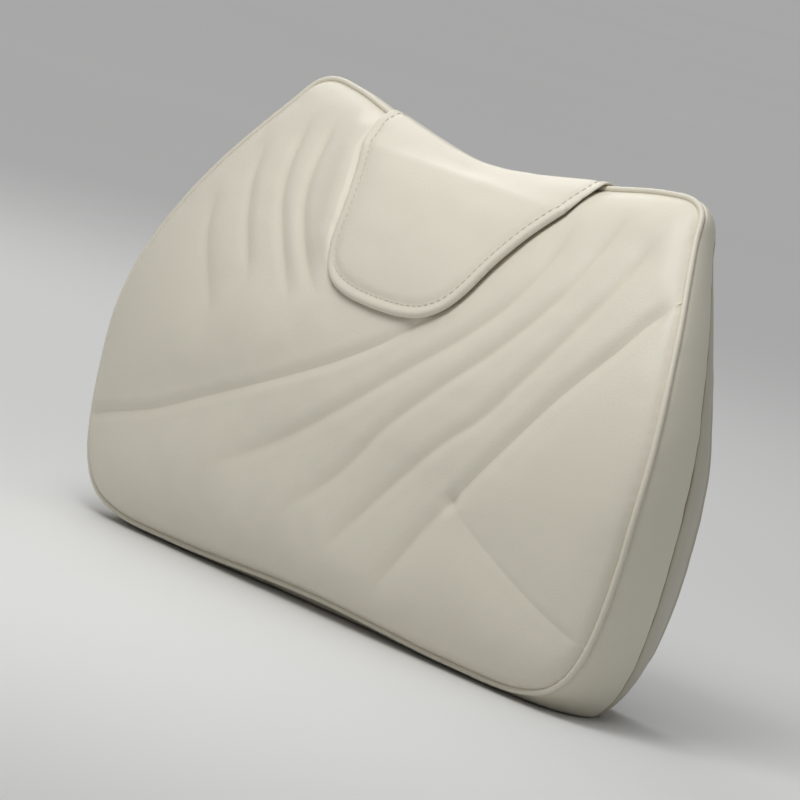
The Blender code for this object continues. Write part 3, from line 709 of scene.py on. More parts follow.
# Creases: points (x, z), depth, half width, and the share of the length over which each end fades.
CREASES = {
    "right_2": ([(0.091, 0.231), (0.089, 0.208), (0.082, 0.182), (0.066, 0.160), (0.038, 0.134),
                 (0.003, 0.104), (-0.035, 0.077), (-0.080, 0.052), (-0.100, 0.041)],
                0.0022, 0.0085, 0.10, 0.35),
    "right_3": ([(0.118, 0.240), (0.113, 0.215), (0.108, 0.190), (0.090, 0.160), (0.064, 0.131),
                 (0.039, 0.104), (0.014, 0.072), (-0.013, 0.048), (-0.028, 0.034)],
                0.0024, 0.0085, 0.10, 0.30),
    "right_4": ([(0.143, 0.238), (0.139, 0.216), (0.133, 0.191), (0.120, 0.160), (0.100, 0.126),
                 (0.081, 0.107), (0.059, 0.083), (0.039, 0.059), (0.022, 0.038), (0.012, 0.018)],
                0.0024, 0.0085, 0.10, 0.30),
    "right_5_tail": ([(0.097, 0.081), (0.086, 0.066), (0.071, 0.043), (0.060, 0.027),
                      (0.054, 0.014)], 0.0018, 0.009, 0.0, 0.6),
    "left_1": ([(-0.163, 0.186), (-0.150, 0.162), (-0.129, 0.138), (-0.113, 0.120)],
               0.0008, 0.008, 0.3, 0.3),
    "left_2": ([(-0.148, 0.216), (-0.142, 0.198), (-0.131, 0.182), (-0.112, 0.160),
                (-0.095, 0.142)], 0.0015, 0.008, 0.2, 0.3),
    "left_3": ([(-0.129, 0.236), (-0.124, 0.216), (-0.112, 0.194), (-0.090, 0.170),
                (-0.070, 0.151), (-0.056, 0.140)], 0.0020, 0.008, 0.15, 0.3),
    "left_4": ([(-0.111, 0.238), (-0.104, 0.215), (-0.094, 0.195), (-0.078, 0.177),
                (-0.058, 0.160), (-0.036, 0.148)], 0.0020, 0.0075, 0.15, 0.35),
}
# Seam lines: points, depth, half width of the groove, and the share over which its start eases in.
SEAMS = {
    "wrap": (WRAP_SEAM, 0.0026, 0.0070, 0.0),
    "right": (RIGHT_SEAM, 0.0030, 0.0090, 0.0),
    "lower": (LOWER_SEAM, 0.0009, 0.0042, 0.4),
}
# A soft roll that stands level with the tongue along its left edge: height, how far outside, width.
ROLL_HEIGHT, ROLL_GAP, ROLL_WIDTH = 0.0030, 0.0045, 0.0100
ROLL_FROM_LEFT, ROLL_EASE_LEFT = 0.030, 0.025   # it starts this far left, and is full this much on
ROLL_FROM_Z, ROLL_EASE_Z = 0.163, 0.020         # and the same with its height
RIM_EASE = 0.010             # the relief fades out over this distance from the rim
TONGUE_EASE = 0.003          # and over this one at the tongue's edge
UNDER_TONGUE = 0.0006        # the leather is pressed in this far under the tongue


def groove(gap, half_width, soft=0.0010):
    """Profile of a crease: near 1 on its line, rounded at the bottom, and 0 at its half width."""
    return (1 - np.clip(np.sqrt(gap ** 2 + soft ** 2) / half_width, 0, 1)) ** 2


def faded(where, total, start, end):
    """1 along the middle of a line, easing to 0 over a share of its length at each end."""
    fade = np.ones_like(where)
    if start:
        fade *= smoothstep(where / (start * total))
    if end:
        fade *= smoothstep((total - where) / (end * total))
    return fade


class Relief:
    """How far the front leather stands out from the smooth front, and how much painted shade it gets
    along its creases and seams.
    """

    def __init__(self):
        self.creases = [(smooth_open(points), *rest) for points, *rest in CREASES.values()]
        self.seams = [(smooth_open(points), *rest) for points, *rest in SEAMS.values()]
        self.swell = None

    def sharp(self, places):
        """The creases and seam grooves, and the painted shade that darkens the leather along them."""
        out, crease_shade = np.zeros(len(places)), np.zeros(len(places))
        for line, depth, width, start, end in self.creases:
            gap, where = distance_to(places, line)
            fade = faded(where, lengths(line)[-1], start, end)
            out -= depth * fade * groove(gap, width)
            # painted shade along each crease
            crease_shade = np.maximum(crease_shade, 0.45 * fade * groove(gap, 0.0040))
        for line, depth, width, start in self.seams:
            gap, where = distance_to(places, line)
            fade = 0.15 + 0.85 * faded(where, lengths(line)[-1], start, 0.0)
            out -= depth * fade * groove(gap, width, 0.0009)
            # painted shade along each seam, darker for deeper seams
            crease_shade = np.maximum(crease_shade, 110 * depth * fade * groove(gap, 0.0026))
        return out, crease_shade

    def __call__(self, places):
        out, crease_shade = self.sharp(places)
        if self.swell:
            out += self.swell(places)
        inset = tongue_inset(places)
        beside = ROLL_HEIGHT * np.exp(-((inset + ROLL_GAP) / ROLL_WIDTH) ** 2)
        on_left = smoothstep((-places[:, 0] - ROLL_FROM_LEFT) / ROLL_EASE_LEFT)
        high = smoothstep((places[:, 1] - ROLL_FROM_Z) / ROLL_EASE_Z)
        out += beside * on_left * high
        out *= smoothstep(rim_gap(places) / RIM_EASE)
        covered = smoothstep(0.5 + inset / TONGUE_EASE)
        return out * (1 - covered) - UNDER_TONGUE * covered, crease_shade


def rim_gap(places):
    return distance_to(places, closed(FRONT_EDGE))[0]


def front_skin(places, out):
    """Points of the leather front, whose rim turns down beside the welt."""
    points = front_points(places, out)
    turned = rolled(rim_gap(places), RIM_ROLL)
    rim_y = REAR_Y - seam_depth(places[:, 1]) + RIM_BEHIND
    points[:, 1] += (rim_y - points[:, 1]) * turned
    return points


def nearest(line, place):
    return int(np.argmin(np.linalg.norm(line - np.array(place), axis=1)))


def panel_rings():
    """The outlines of the three front panels, anticlockwise."""
    wrap, right, lower = (smooth_open(s) for s in (WRAP_SEAM, RIGHT_SEAM, LOWER_SEAM))
    left_end, top_end = nearest(FRONT_EDGE, wrap[0]), nearest(FRONT_EDGE, wrap[-1])
    right_end, low_end = nearest(FRONT_EDGE, right[0]), nearest(FRONT_EDGE, lower[-1])
    twice = np.vstack([FRONT_EDGE, FRONT_EDGE])
    round_the_base = twice[left_end:len(FRONT_EDGE) + low_end + 1]
    return {
        "left_wing": [twice[top_end:left_end + 1], wrap],
        "right_side": [twice[low_end:right_end + 1], right, lower[1:]],
        "wrap": [round_the_base, lower[::-1], right[::-1], twice[right_end:top_end + 1],
                 wrap[::-1]],
    }


def ring_of(runs, spacing=FINE):
    """One closed outline from runs of points, evenly spaced along each run."""
    points = np.vstack([resample(run, spacing) for run in runs])
    keep = np.linalg.norm(points - np.roll(points, 1, axis=0), axis=1) > spacing * 0.3
    return points[keep]


EDGE_ROWS = (0.0006, 0.0014, 0.0026, 0.0042)   # insets of the fine rows along an edge that turns down
ROW_SHIFT = 0.0010           # the fine rows beside a crease or seam lie this far from it


def rows_beside(points, shifts):
    """Rows of places along a line, each one shifted to its side."""
    line = resample(smooth_open(points), FINE)
    along = unit(np.gradient(line, axis=0))
    side = np.stack([-along[:, 1], along[:, 0]], axis=1)
    return [line + side * shift for shift in shifts]


def fine_rows():
    """Rows of places along every crease and inside the outline, where the surface turns fastest."""
    rows = []
    for lines, shifts in ((CREASES, (-ROW_SHIFT, 0, ROW_SHIFT)), (SEAMS, (-ROW_SHIFT, ROW_SHIFT))):
        for points, *_ in lines.values():
            rows += rows_beside(points, shifts)
    return rows + [(LOOP - LOOP_OUT * (PANEL_EDGE + inset))[::3] for inset in EDGE_ROWS]


REPLACED_PANELS = {"left_wing": ["left_wing_panel"], "right_side": ["right_panel"],
                   "wrap": ["wrap_panel", "front_wadding"]}


def make_front_panels(relief):
    rows = fine_rows()
    for name, runs in panel_rings().items():
        places, faces = triangulated(ring_of(runs), FRONT_SPACING, rows)
        # the relief, and the painted shade along creases and seams
        out, crease_shade = relief(places)
        obj = piece(name, front_skin(places, out), faces, "cream",
                    crease_shade=crease_shade)
        sharpen_outline(obj.data)
        solidify(obj, LEATHER)
        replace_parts(obj, *REPLACED_PANELS[name])


# ---- the leather's swelling, by cloth simulation ----
SIM_SPACING = 0.0048
SIM_FRAMES = 20
SLACK = 0.006                # the leather is this share larger than what it covers
SWELL_CAP = 0.0040
CLOTH = {"quality": 6, "mass": 0.15, "tension_stiffness": 5, "compression_stiffness": 5,
         "shear_stiffness": 2, "bending_stiffness": 0.3, "shrink_min": -SLACK,
         "use_pressure": True, "uniform_pressure_force": 12.0}


def simulated_swell(relief):
    """Blow the front up as one sheet held along its seams, creases and rim; gives its rise."""
    ring = resample(closed(FRONT_EDGE), SIM_SPACING)[:-1]
    lines = [line for line, *_ in relief.creases + relief.seams]
    rows = [resample(line, SIM_SPACING) for line in lines]
    places, faces = triangulated(ring, SIM_SPACING, rows)
    start = front_points(places, relief.sharp(places)[0])
    normals = unit(front_points(places, 0.001) - front_points(places))
    held = np.zeros(len(places))
    for line, _, _, begin, end in relief.creases:
        gap, where = distance_to(places, line)
        fade = faded(where, lengths(line)[-1], begin, end)
        held = np.maximum(held, fade * (gap < SIM_SPACING * 0.3))
    for line, *_ in relief.seams:
        held = np.maximum(held, distance_to(places, line)[0] < SIM_SPACING * 0.3)
    held = np.maximum(held, distance_to(places, closed(ring))[0] < 0.001)
    held = np.maximum(held, tongue_inset(places) > 0)
    sheet = piece("swelling", start, faces, "cream", body=None)
    pins = sheet.vertex_groups.new(name="held")
    for i, weight in enumerate(held):
        pins.add([i], float(weight), "REPLACE")
    cloth = sheet.modifiers.new("Cloth", "CLOTH")
    for setting, value in CLOTH.items():
        setattr(cloth.settings, setting, value)
    cloth.settings.vertex_group_mass = "held"
    cloth.settings.effector_weights.gravity = 0
    cloth.collision_settings.use_collision = False
    cloth.point_cache.frame_end = SIM_FRAMES
    for frame_number in range(1, SIM_FRAMES + 1):
        bpy.context.scene.frame_set(frame_number)
    shaped = sheet.evaluated_get(bpy.context.evaluated_depsgraph_get()).data
    moved = np.zeros(len(places) * 3)
    shaped.vertices.foreach_get("co", moved)
    rise = np.sum((moved.reshape(-1, 3) - start) * normals, axis=1)
    bpy.data.objects.remove(sheet)
    bpy.context.scene.frame_set(1)
    return Field(places, np.clip(rise, -SWELL_CAP / 3, SWELL_CAP))


class Field:
    """Values known at scattered places, smoothly filled in between them."""
    NEAREST = 16
    REACH = 0.0056

    def __init__(self, places, values):
        self.values = values
        self.tree = kdtree.KDTree(len(places))
        for i, (x, z) in enumerate(places):
            self.tree.insert((x, z, 0), i)
        self.tree.balance()

    def __call__(self, places):
        found = np.zeros(len(places))
        for i, (x, z) in enumerate(places):
            near = self.tree.find_n((x, z, 0), self.NEAREST)
            weights = np.exp(-(np.array([n[2] for n in near]) / self.REACH) ** 2)
            found[i] = weights @ self.values[[n[1] for n in near]] / weights.sum()
        return found


# ---- tongue ----
TONGUE_THICK = 0.0047        # from the front's surface to the tongue's outer face
FOLD_Z = 0.228
TONGUE_TOP_HALF, TONGUE_LOW_HALF, TONGUE_LOW_Z, TONGUE_TIP_Z = 0.0790, 0.0560, 0.177, 0.155
ROOT_HALF = 0.084
ROOT_SHARES = (0.15, 0.4, 0.65, 0.88, 1.0)   # shares of the way to the back on its route
ROOT_CLEAR = 0.0024          # the fixed end lies this far off the side bands
ROUTE_POINTS = 48
STRIP_OVER = 1.04            # the strip is wider than the tongue by this much
STRIP_COLUMNS = 61
STRIP_STEP = 0.002
# Where the strip passes over the piping: how far forward of the front seam, and how far above it.
OVER_WELT = ((0.0073, -0.0019), (0.0036, 0.0009), (-0.0005, 0.0033))
# Right half of the free end's outline, from the tip's middle up to the fold, (x, z).
TIP_OUTLINE = [(0.0, 0.1550), (0.020, 0.1560), (0.036, 0.1597), (0.047, 0.1670), (0.0545, 0.178),
               (0.0605, 0.194), (0.069, 0.212), (0.079, 0.228)]


def tip_ring():
    """The free flap's outline in (x, z), anticlockwise from the left end of the fold."""
    right = smooth_open(TIP_OUTLINE, 8)
    left = right[:0:-1] * [-1, 1]
    return np.vstack([left, right])


TIP = tip_ring()


def tongue_inset(places):
    """How far inside the tongue's outline a place on the front is; negative outside."""
    over = np.array([[0.088, 0.30], [-0.088, 0.30]])
    ring = np.vstack([TIP, over])
    gap, _ = distance_to(places, closed(ring))
    return np.where(inside(places, ring), gap, -gap)


def top_index(x):
    run = np.arange(EAR_RIGHT, EAR_LEFT + 1)[::-1]
    return np.interp(x, LOOP[run, 0], run)


def side_points(index, share, out=0.0):
    """Points on the side, at places round the loop and shares of the way to the back."""
    index, share = np.broadcast_arrays(np.asarray(index, float), np.asarray(share, float))
    low = np.floor(index).astype(int)
    part = (index - low)[..., None]
    low %= len(LOOP)
    high = (low + 1) % len(LOOP)
    seam = LOOP[low] * (1 - part) + LOOP[high] * part
    normal = unit(LOOP_OUT[low] * (1 - part) + LOOP_OUT[high] * part)
    drawn = np.clip(share, 0, None)[..., None] ** TAPER_POWER
    place = seam + (seam * REAR_SCALE + [0, REAR_LIFT] - seam) * drawn
    bulge = (SIDE_BULGE + BOTTOM_BULGE * np.clip(-normal[..., 1], 0, None)
             - TOP_BULGE_LOSS * np.clip(normal[..., 1], 0, None))
    bulge = bulge * np.sin(math.pi * np.clip(share, 0, 1))
    place = place + normal * (bulge + out)[..., None]
    depth = (seam_depth(seam[..., 1]) - BAND_START) * (1 - share)
    return np.stack([place[..., 0], REAR_Y - depth, on_floor(place[..., 1])], axis=-1)


def on_floor(z):
    """Heights kept above the floor, with a small soft turn where the base is pressed flat."""
    soft = 0.0012
    return 0.5 * (z + np.sqrt(z ** 2 + soft ** 2)) - 0.5 * soft * np.exp(-(z / 0.004) ** 2)


def tongue_face():
    """Outer face of the whole tongue, in columns across it and rows from its tip to its back end.

    Gives the points, and for each row how far along the tongue it is, continuing the heights (x, z)
    of the free flap past the fold.
    """
    shares = np.linspace(-STRIP_OVER, STRIP_OVER, STRIP_COLUMNS)
    heights = np.arange(TONGUE_TIP_Z - 0.004, FOLD_Z, STRIP_STEP)
    rows, along = [], []
    for z in heights:
        half = width_at(z)
        places = np.stack([shares * half, np.full(len(shares), z)], axis=1)
        rows.append(front_points(places, TONGUE_THICK))
        along.append(z)
    routes = [tongue_route(x) for x in shares * ROOT_HALF]
    back = np.stack(routes, axis=1)
    steps = np.linalg.norm(np.diff(back[:, len(shares) // 2], axis=0), axis=1)
    rows += list(back)
    along += list(FOLD_Z + np.concatenate([[0], np.cumsum(steps)]))
    return shares, np.array(along), np.array(rows)


def width_at(along):
    """Half width of the strip that the tongue's outline is laid on, at a place along it."""
    share = np.clip((along - TONGUE_LOW_Z) / (FOLD_Z - TONGUE_LOW_Z), 0, 1)
    flap = TONGUE_LOW_HALF + (TONGUE_TOP_HALF - TONGUE_LOW_HALF) * share
    return flap + (ROOT_HALF - TONGUE_TOP_HALF) * smoothstep((along - FOLD_Z) / 0.015)


def tongue_route(x):
    """Evenly spaced points of the tongue's fixed end, from the fold over the top to the back."""
    index = top_index(x)
    top = LOOP[EAR_RIGHT:EAR_LEFT + 1][::-1]
    seam_z = float(np.interp(x, top[:, 0], top[:, 1]))
    seam = float(seam_depth(seam_z))
    fold = np.array([[x * TONGUE_TOP_HALF / ROOT_HALF, FOLD_Z]])
    route = [front_points(fold, TONGUE_THICK)[0]]
    route += [(x, REAR_Y - seam - forward, seam_z + above) for forward, above in OVER_WELT]
    for share in ROOT_SHARES:
        route.append(side_points(index, share) + np.array([0, 0, ROOT_CLEAR]))
    line = smooth_open(route, 8)
    run = lengths(line)
    return values_at(np.linspace(0, run[-1], ROUTE_POINTS), run, line)


class Tongue:
    """The strip that the tongue follows: places (x, along) on it, as points and normals."""

    def __init__(self):
        self.shares, self.along, self.face = tongue_face()
        down = np.gradient(self.face, axis=0)
        across = np.gradient(self.face, axis=1)
        self.normals = unit(np.cross(across, down))
        self.end = self.along[-1]

    def look_up(self, table, places):
        u = places[:, 0] / width_at(places[:, 1])
        column = np.interp(u, self.shares, np.arange(len(self.shares)))
        row = np.interp(places[:, 1], self.along, np.arange(len(self.along)))
        c = np.clip(column.astype(int), 0, len(self.shares) - 2)
        r = np.clip(row.astype(int), 0, len(self.along) - 2)
        a, b = (column - c)[:, None], (row - r)[:, None]
        return ((table[r, c] * (1 - a) + table[r, c + 1] * a) * (1 - b)
                + (table[r + 1, c] * (1 - a) + table[r + 1, c + 1] * a) * b)

    def points(self, places, out):
        return (self.look_up(self.face, places)
                + unit(self.look_up(self.normals, places)) * np.asarray(out)[..., None])

    def ring(self):
        """The tongue's outline laid flat, anticlockwise."""
        up = np.arange(FOLD_Z + STRIP_STEP, self.end, STRIP_STEP)
        right = np.stack([width_at(up), up], axis=1)
        back = np.arange(ROOT_HALF, -ROOT_HALF, -STRIP_STEP)
        across = np.stack([back, np.full(len(back), self.end)], axis=1)
        ring = np.vstack([TIP, right, across, right[::-1] * [-1, 1]])
        return ring_of([closed(ring)])


def tongue_thickness(along):
    """From the outer face to the lining: padded on the flap, thin over the top and behind."""
    return 0.0042 - 0.0024 * smoothstep((along - FOLD_Z + 0.004) / 0.020)


BEAD = 0.0058                # the tongue's edge is sewn this far in, which leaves a bead round it
BEAD_WIDTH = 0.0020
BEAD_DEPTH = 0.0011
TONGUE_ROWS = (0.0004, 0.0010, 0.0019, 0.0031, 0.0044, 0.0058, 0.0072)   # insets of its fine rows


def tongue_relief(spots, places, gap):
    """How far the tongue's outer face stands from its strip, and where it is sewn."""
    thick = tongue_thickness(places[:, 1])
    on_flap = smoothstep((FOLD_Z + 0.006 - places[:, 1]) / 0.02)
    on_left = smoothstep((-places[:, 0] - 0.036) / 0.020) * on_flap
    sewn = np.exp(-((gap - BEAD) / BEAD_WIDTH) ** 2) * (1 - 0.9 * on_left)
    out = 0.0013 * (1 - np.exp(-(gap / 0.018) ** 2)) * on_flap
    out -= BEAD_DEPTH * sewn * (thick / 0.0042)
    out -= 0.62 * thick * on_left * np.exp(-(gap / 0.014) ** 2)
    out += 0.0003 * fractal(spots, 0.016, 3.0) * smoothstep(gap / 0.004)
    return out - 0.55 * (thick + out) * rolled(gap, 0.0028), sewn


def make_tongue():
    """One padded piece from the free tip over the top edge to the back, with a sewn, rolled rim."""
    strip = Tongue()
    ring = strip.ring()
    rows = [drawn_in(ring, gap) for gap in TONGUE_ROWS]
    places, faces = triangulated(ring, FRONT_SPACING, rows)
    gap, _ = distance_to(places, closed(ring))
    thick = tongue_thickness(places[:, 1])
    outer, sewn = tongue_relief(strip.points(places, 0 * gap), places, gap)
    inner = -thick + np.clip(outer + thick, 0, None) * rolled(gap, 0.0022)
    top = strip.points(places, outer)
    bottom = strip.points(places, inner)
    n = len(places)
    rim = len(ring)
    points = np.vstack([top, bottom])
    shell = [list(f) for f in faces]
    shell += [[n + v for v in reversed(f)] for f in faces]
    shell += [[i, n + i, n + (i + 1) % rim, (i + 1) % rim] for i in range(rim)]
    # painted shade along the tongue's sewn line, faint
    crease_shade = np.concatenate([0.15 * sewn, np.zeros(n)])
    obj = piece("tongue", points, shell, "cream", body=None, crease_shade=crease_shade)
    weld(obj.data, 1e-6)
    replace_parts(obj, "tongue_outer", "tongue_pad", "tongue_lining", "tongue_root")
    seam = drawn_in(ring, BEAD)
    seam = seam[seam[:, 1] < strip.end - 0.008]
    at_back = seam[:, 1] >= seam[:, 1].max() - 0.002
    first = int(np.argmin(np.where(at_back, seam[:, 0], np.inf)))
    seam = resample(np.roll(seam, -first, axis=0), 0.002)
    sunk, _ = tongue_relief(strip.points(seam, 0 * seam[:, 0]), seam, np.full(len(seam), BEAD))
    path = strip.points(seam, sunk)
    line = stitches("tongue_stitches", path, strip.look_up(strip.normals, seam), None)
    for item in (obj, line):
        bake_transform(item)


# ---- welt and side bands ----
WELT_RADIUS = 0.0016
WELT_BEHIND = 0.0022         # its middle lies this far behind the front seam
WELT_INSET = 0.0004          # and this far inside the outline
BAND_SPLIT = 0.5             # share of the way to the back at which the two bands meet
BAND_DEPTH = 0.070           # length that the bands' shares are measured against
BAND_EDGE = 0.0030           # a band's edge turns in over this length
BAND_TUCK = -0.015           # share at which the front band passes behind the piping
BAND_FLANGE = 0.0015         # and how far it then runs forward, inside it
BAND_ROLL = 0.0017           # how far a band's edge turns in at its seam
REAR_ROUND = 0.0030          # radius over which the rear band turns onto the back


def make_welt():
    ring = closed(LOOP - LOOP_OUT * WELT_INSET)
    ring = resample(ring, 0.0022)[:-1]
    depth = seam_depth(ring[:, 1]) - WELT_BEHIND
    path = np.stack([ring[:, 0], REAR_Y - depth, ring[:, 1]], axis=1)
    out = outward(ring)
    normals = np.stack([out[:, 0], np.zeros(len(out)), out[:, 1]], axis=1)
    run = lengths(path)
    radius = WELT_RADIUS * (1 + 0.03 * np.cos(run * 2 * math.pi / 0.0072)
                            + 0.05 * fractal(path, 0.02, 7.0))
    path[:, 2] = np.maximum(path[:, 2], radius)
    obj = tube("welt", path, normals, radius, 14, "cream")
    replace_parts(obj, "front_welt")


def band_rows(start, end):
    """Shares of the side's depth for a band's rows, closer together at both edges."""
    edge = np.array([0, 0.0005, 0.0012, 0.0022, 0.0036]) / BAND_DEPTH
    margin = 0.0052 / BAND_DEPTH
    middle = np.linspace(start + margin, end - margin, 16)
    return np.concatenate([start + edge, middle, (end - edge)[::-1]])


def band_points(index, shares, start, end, seed):
    """Points of a side band, rolled in along both its edges, with faint puckers at its seams."""
    grid_index, grid_share = np.meshgrid(index, shares)
    from_front = (grid_share - start) * BAND_DEPTH
    from_back = (end - grid_share) * BAND_DEPTH
    smooth = side_points(grid_index, grid_share)
    flat = smooth.reshape(-1, 3)
    wander = fractal(flat, 0.034, seed).reshape(grid_index.shape)
    pucker = fractal(flat * [1, 0.25, 1], 0.009, seed + 5).reshape(grid_index.shape)
    near_seam = np.exp(-from_front / 0.009) + np.exp(-from_back / 0.009)
    out = 0.0007 * wander + 0.0005 * pucker * near_seam
    out -= BAND_ROLL * rolled(from_front, BAND_EDGE)
    if end < 1:
        out -= BAND_ROLL * rolled(from_back, BAND_EDGE)
    return side_points(grid_index, grid_share, out)


def rear_round(last, inward):
    """Rows that carry the rear band's last row round onto the back and in under the mesh's edge."""
    rows = []
    for angle in np.radians(np.linspace(12, 90, 7)):
        row = last + inward * REAR_ROUND * (1 - math.cos(angle))
        row[:, 1] = last[:, 1] + (REAR_Y - last[:, 1]) * math.sin(angle)
        rows.append(row)
    turned = rows[-1]
    for step, sink in ((0.0014, 0.0), (0.0024, 0.0003), (0.0032, 0.0012)):
        row = turned + inward * step
        row[:, 1] = REAR_Y - sink
        rows.append(row)
    return np.array(rows)


def make_bands():
    """The side in two strips, the front one cream and the rear one darker, each a closed loop."""
    index = np.arange(0, len(LOOP), 1.5)
    front_rows = np.concatenate([[BAND_TUCK], band_rows(BAND_TUCK, BAND_SPLIT)])
    front = band_points(index, front_rows, 0.0, BAND_SPLIT, 1.0)
    front[0, :, 1] -= BAND_FLANGE
    rear_rows = band_rows(BAND_SPLIT, 1.0 - REAR_ROUND / BAND_DEPTH)
    rear = band_points(index, rear_rows, BAND_SPLIT, 1.0, 2.0)
    out = LOOP_OUT[index.astype(int)]
    inward = -np.stack([out[:, 0], np.zeros(len(out)), out[:, 1]], axis=1)
    rear = np.concatenate([rear, rear_round(rear[-1], inward)])
    for name, grid, mat, slot in (("front_band", front, "cream", "cream_leather"),
                                  ("rear_band", rear, "side", "side_leather")):
        grid[..., 2] = np.maximum(grid[..., 2], 0.0)
        faces = [f[::-1] for f in grid_faces(*grid.shape[:2], True)]
        # painted shade along both edges of each band, where it turns into its seams
        edge_shade = np.zeros(grid.shape[:2])
        edge_shade[:2] = edge_shade[-2:] = 0.8
        obj = piece(name, grid.reshape(-1, 3), faces, mat, crease_shade=edge_shade.ravel())
        solidify(obj, LEATHER)
        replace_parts(obj, name + "_top", name + "_base")


# ---- back ----
BACK_EDGE = 0.0042           # the mesh starts this far inside the back's outline
BACK_SPACING = 0.0034
MESH_THICK = 0.0036
ZIP_HALF_SLOT = 0.0058
ZIP_HALF_SHUT = 0.0004       # half of the gap left where the slot is closed
ZIP_END = 0.1630             # the slot for the zip ends here, at the side seam
ZIP_END_ROUND = 0.0035       # and narrows over this length
STITCH_INSET = 0.0040        # the mesh is stitched this far inside its edge
REAR_RING = LOOP * REAR_SCALE + [0, REAR_LIFT]


def slot_edge(x, side):
    """Height of the mesh's edge along the zip: open over the teeth and closed at both ends."""
    open_share = quarter_round((ZIP_END - np.abs(x)) / ZIP_END_ROUND)
    return ZIP_Z + side * (ZIP_HALF_SHUT + (ZIP_HALF_SLOT - ZIP_HALF_SHUT) * open_share)


def back_rings():
    """Outlines of the back above and below the zip, anticlockwise as seen from the front."""
    outline = drawn_in(REAR_RING, BACK_EDGE)
    half = outline[np.abs(outline[:, 1] - ZIP_Z) < 0.004, 0].max()
    xs = np.linspace(-half, half, 180)
    upper_edge = np.stack([xs, slot_edge(xs, 1)], axis=1)
    lower_edge = np.stack([xs, slot_edge(xs, -1)], axis=1)
    right = nearest(outline, (half, ZIP_Z))
    left = len(outline) - right
    upper = [upper_edge, outline[right + 1:left]]
    lower = [lower_edge[::-1], np.vstack([outline[left + 1:], outline[:right]])]
    return {"back_mesh": (upper, "back_panel"), "back_mesh_low": (lower, "back_lower_strip")}


def make_back():
    for name, (runs, node) in back_rings().items():
        ring = ring_of([np.vstack(runs + [runs[0][:1]])], 0.0022)
        rows = [drawn_in(ring, inset) for inset in EDGE_ROWS]
        places, faces = triangulated(ring, BACK_SPACING, rows)
        gap, _ = distance_to(places, closed(ring))
        spots = np.stack([places[:, 0], 0 * gap, places[:, 1]], axis=1)
        stitch = np.exp(-((gap - STITCH_INSET) / 0.0011) ** 2)
        sink = 0.0022 * rolled(gap, 0.0030) + 0.0007 * stitch
        sink = sink + 0.0005 * (1 + fractal(spots, 0.05, 4.0)) * smoothstep(gap / 0.01)
        points = np.stack([places[:, 0], REAR_Y - sink, places[:, 1]], axis=1)
        obj = piece(name, points, [f[::-1] for f in faces], "mesh")
        solidify(obj, MESH_THICK)
        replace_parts(obj, node)
        line = drawn_in(ring, STITCH_INSET)
        line = line[distance_to(line, closed(ring))[0] > 0.9 * STITCH_INSET]
        line = resample(closed(line), 0.002)
        path = np.stack([line[:, 0], np.full(len(line), REAR_Y - 0.0006), line[:, 1]], axis=1)
        stitches(name + "_stitches", path, np.tile([0.0, 1.0, 0.0], (len(path), 1)), "cushion")


# ---- zip ----
TOOTH_PITCH = 0.0015
TOOTH_WIRE = 0.00032         # radius of the monofilament
TOOTH_LEAN = 0.00030         # how far a loop leans along the zip
TAPE_ON = 0.0095             # the tapes run on this far past the CAD ones, into the side seams
TAPE_THICK = 0.0005


def make_coil(name, side):
    """Half of the zip's teeth: one small loop of monofilament for each tooth."""
    low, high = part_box(name)
    half_y = (high.y - low.y) / 2 - TOOTH_WIRE
    half_z = (high.z - low.z) / 2 - TOOTH_WIRE
    bend = np.linspace(-0.5, 0.5, 9) * 2 * math.pi * 0.86
    loop = np.stack([TOOTH_LEAN * np.sin(bend), half_y * np.sin(bend),
                     -side * half_z * np.cos(bend)], axis=1)
    along = unit(np.gradient(loop, axis=0))
    across = unit(np.cross(along, [1.0, 0, 0]))
    up = np.cross(across, along)
    points, faces = [], []
    start = low.x + TOOTH_PITCH / 2 + (TOOTH_PITCH / 2 if side < 0 else 0)
    for x in np.arange(start, high.x - TOOTH_PITCH / 2, TOOTH_PITCH):
        centre = np.array([x, (low.y + high.y) / 2, (low.z + high.z) / 2])
        add_rod(points, faces, centre + loop, up, across, np.full(len(bend), TOOTH_WIRE))
    obj = piece(name.replace("zip_coil", "teeth"), points, faces, "coil")
    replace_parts(obj, name)


def make_tape(name):
    """A woven tape with a raised cord edge beside the teeth and a slight wave."""
    low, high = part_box(name)
    columns = np.linspace(low.x - TAPE_ON, high.x + TAPE_ON, 110)
    rows = np.linspace(low.z, high.z, 14)
    x, z = np.meshgrid(columns, rows)
    inner = low.z if name.endswith("upper") else high.z
    cord = np.exp(-((np.abs(z - inner) - 0.0042) / 0.0007) ** 2)
    flat = np.stack([x.ravel(), 0 * x.ravel(), z.ravel()], axis=1)
    wave = fractal(flat, 0.03, 9.0).reshape(x.shape)
    y = high.y + 0.0002 * cord + 0.0002 * wave
    grid = np.stack([x, y, z], axis=-1)
    faces = [f[::-1] for f in grid_faces(*x.shape)]
    obj = piece(name.replace("zip_", ""), grid.reshape(-1, 3), faces, "tape")
    solidify(obj, TAPE_THICK)
    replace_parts(obj, name)


def bridge(bm, first, second):
    """Quads between two closed loops of as many points."""
    n = len(first)
    for i in range(n):
        bm.faces.new((first[i], first[(i + 1) % n], second[(i + 1) % n], second[i]))


def rounded_slab(bm, outline, low_y, high_y, bevel):
    """A plate with an outline in (x, z), its rims rounded."""
    bottom = [bm.verts.new((x, low_y, z)) for x, z in outline]
    top = [bm.verts.new((x, high_y, z)) for x, z in outline]
    ends = [bm.faces.new(bottom), bm.faces.new(top[::-1])]
    bridge(bm, top, bottom)
    edges = [e for f in ends for e in f.edges]
    bmesh.ops.bevel(bm, geom=edges, offset=bevel, segments=3, profile=0.6, affect="EDGES")


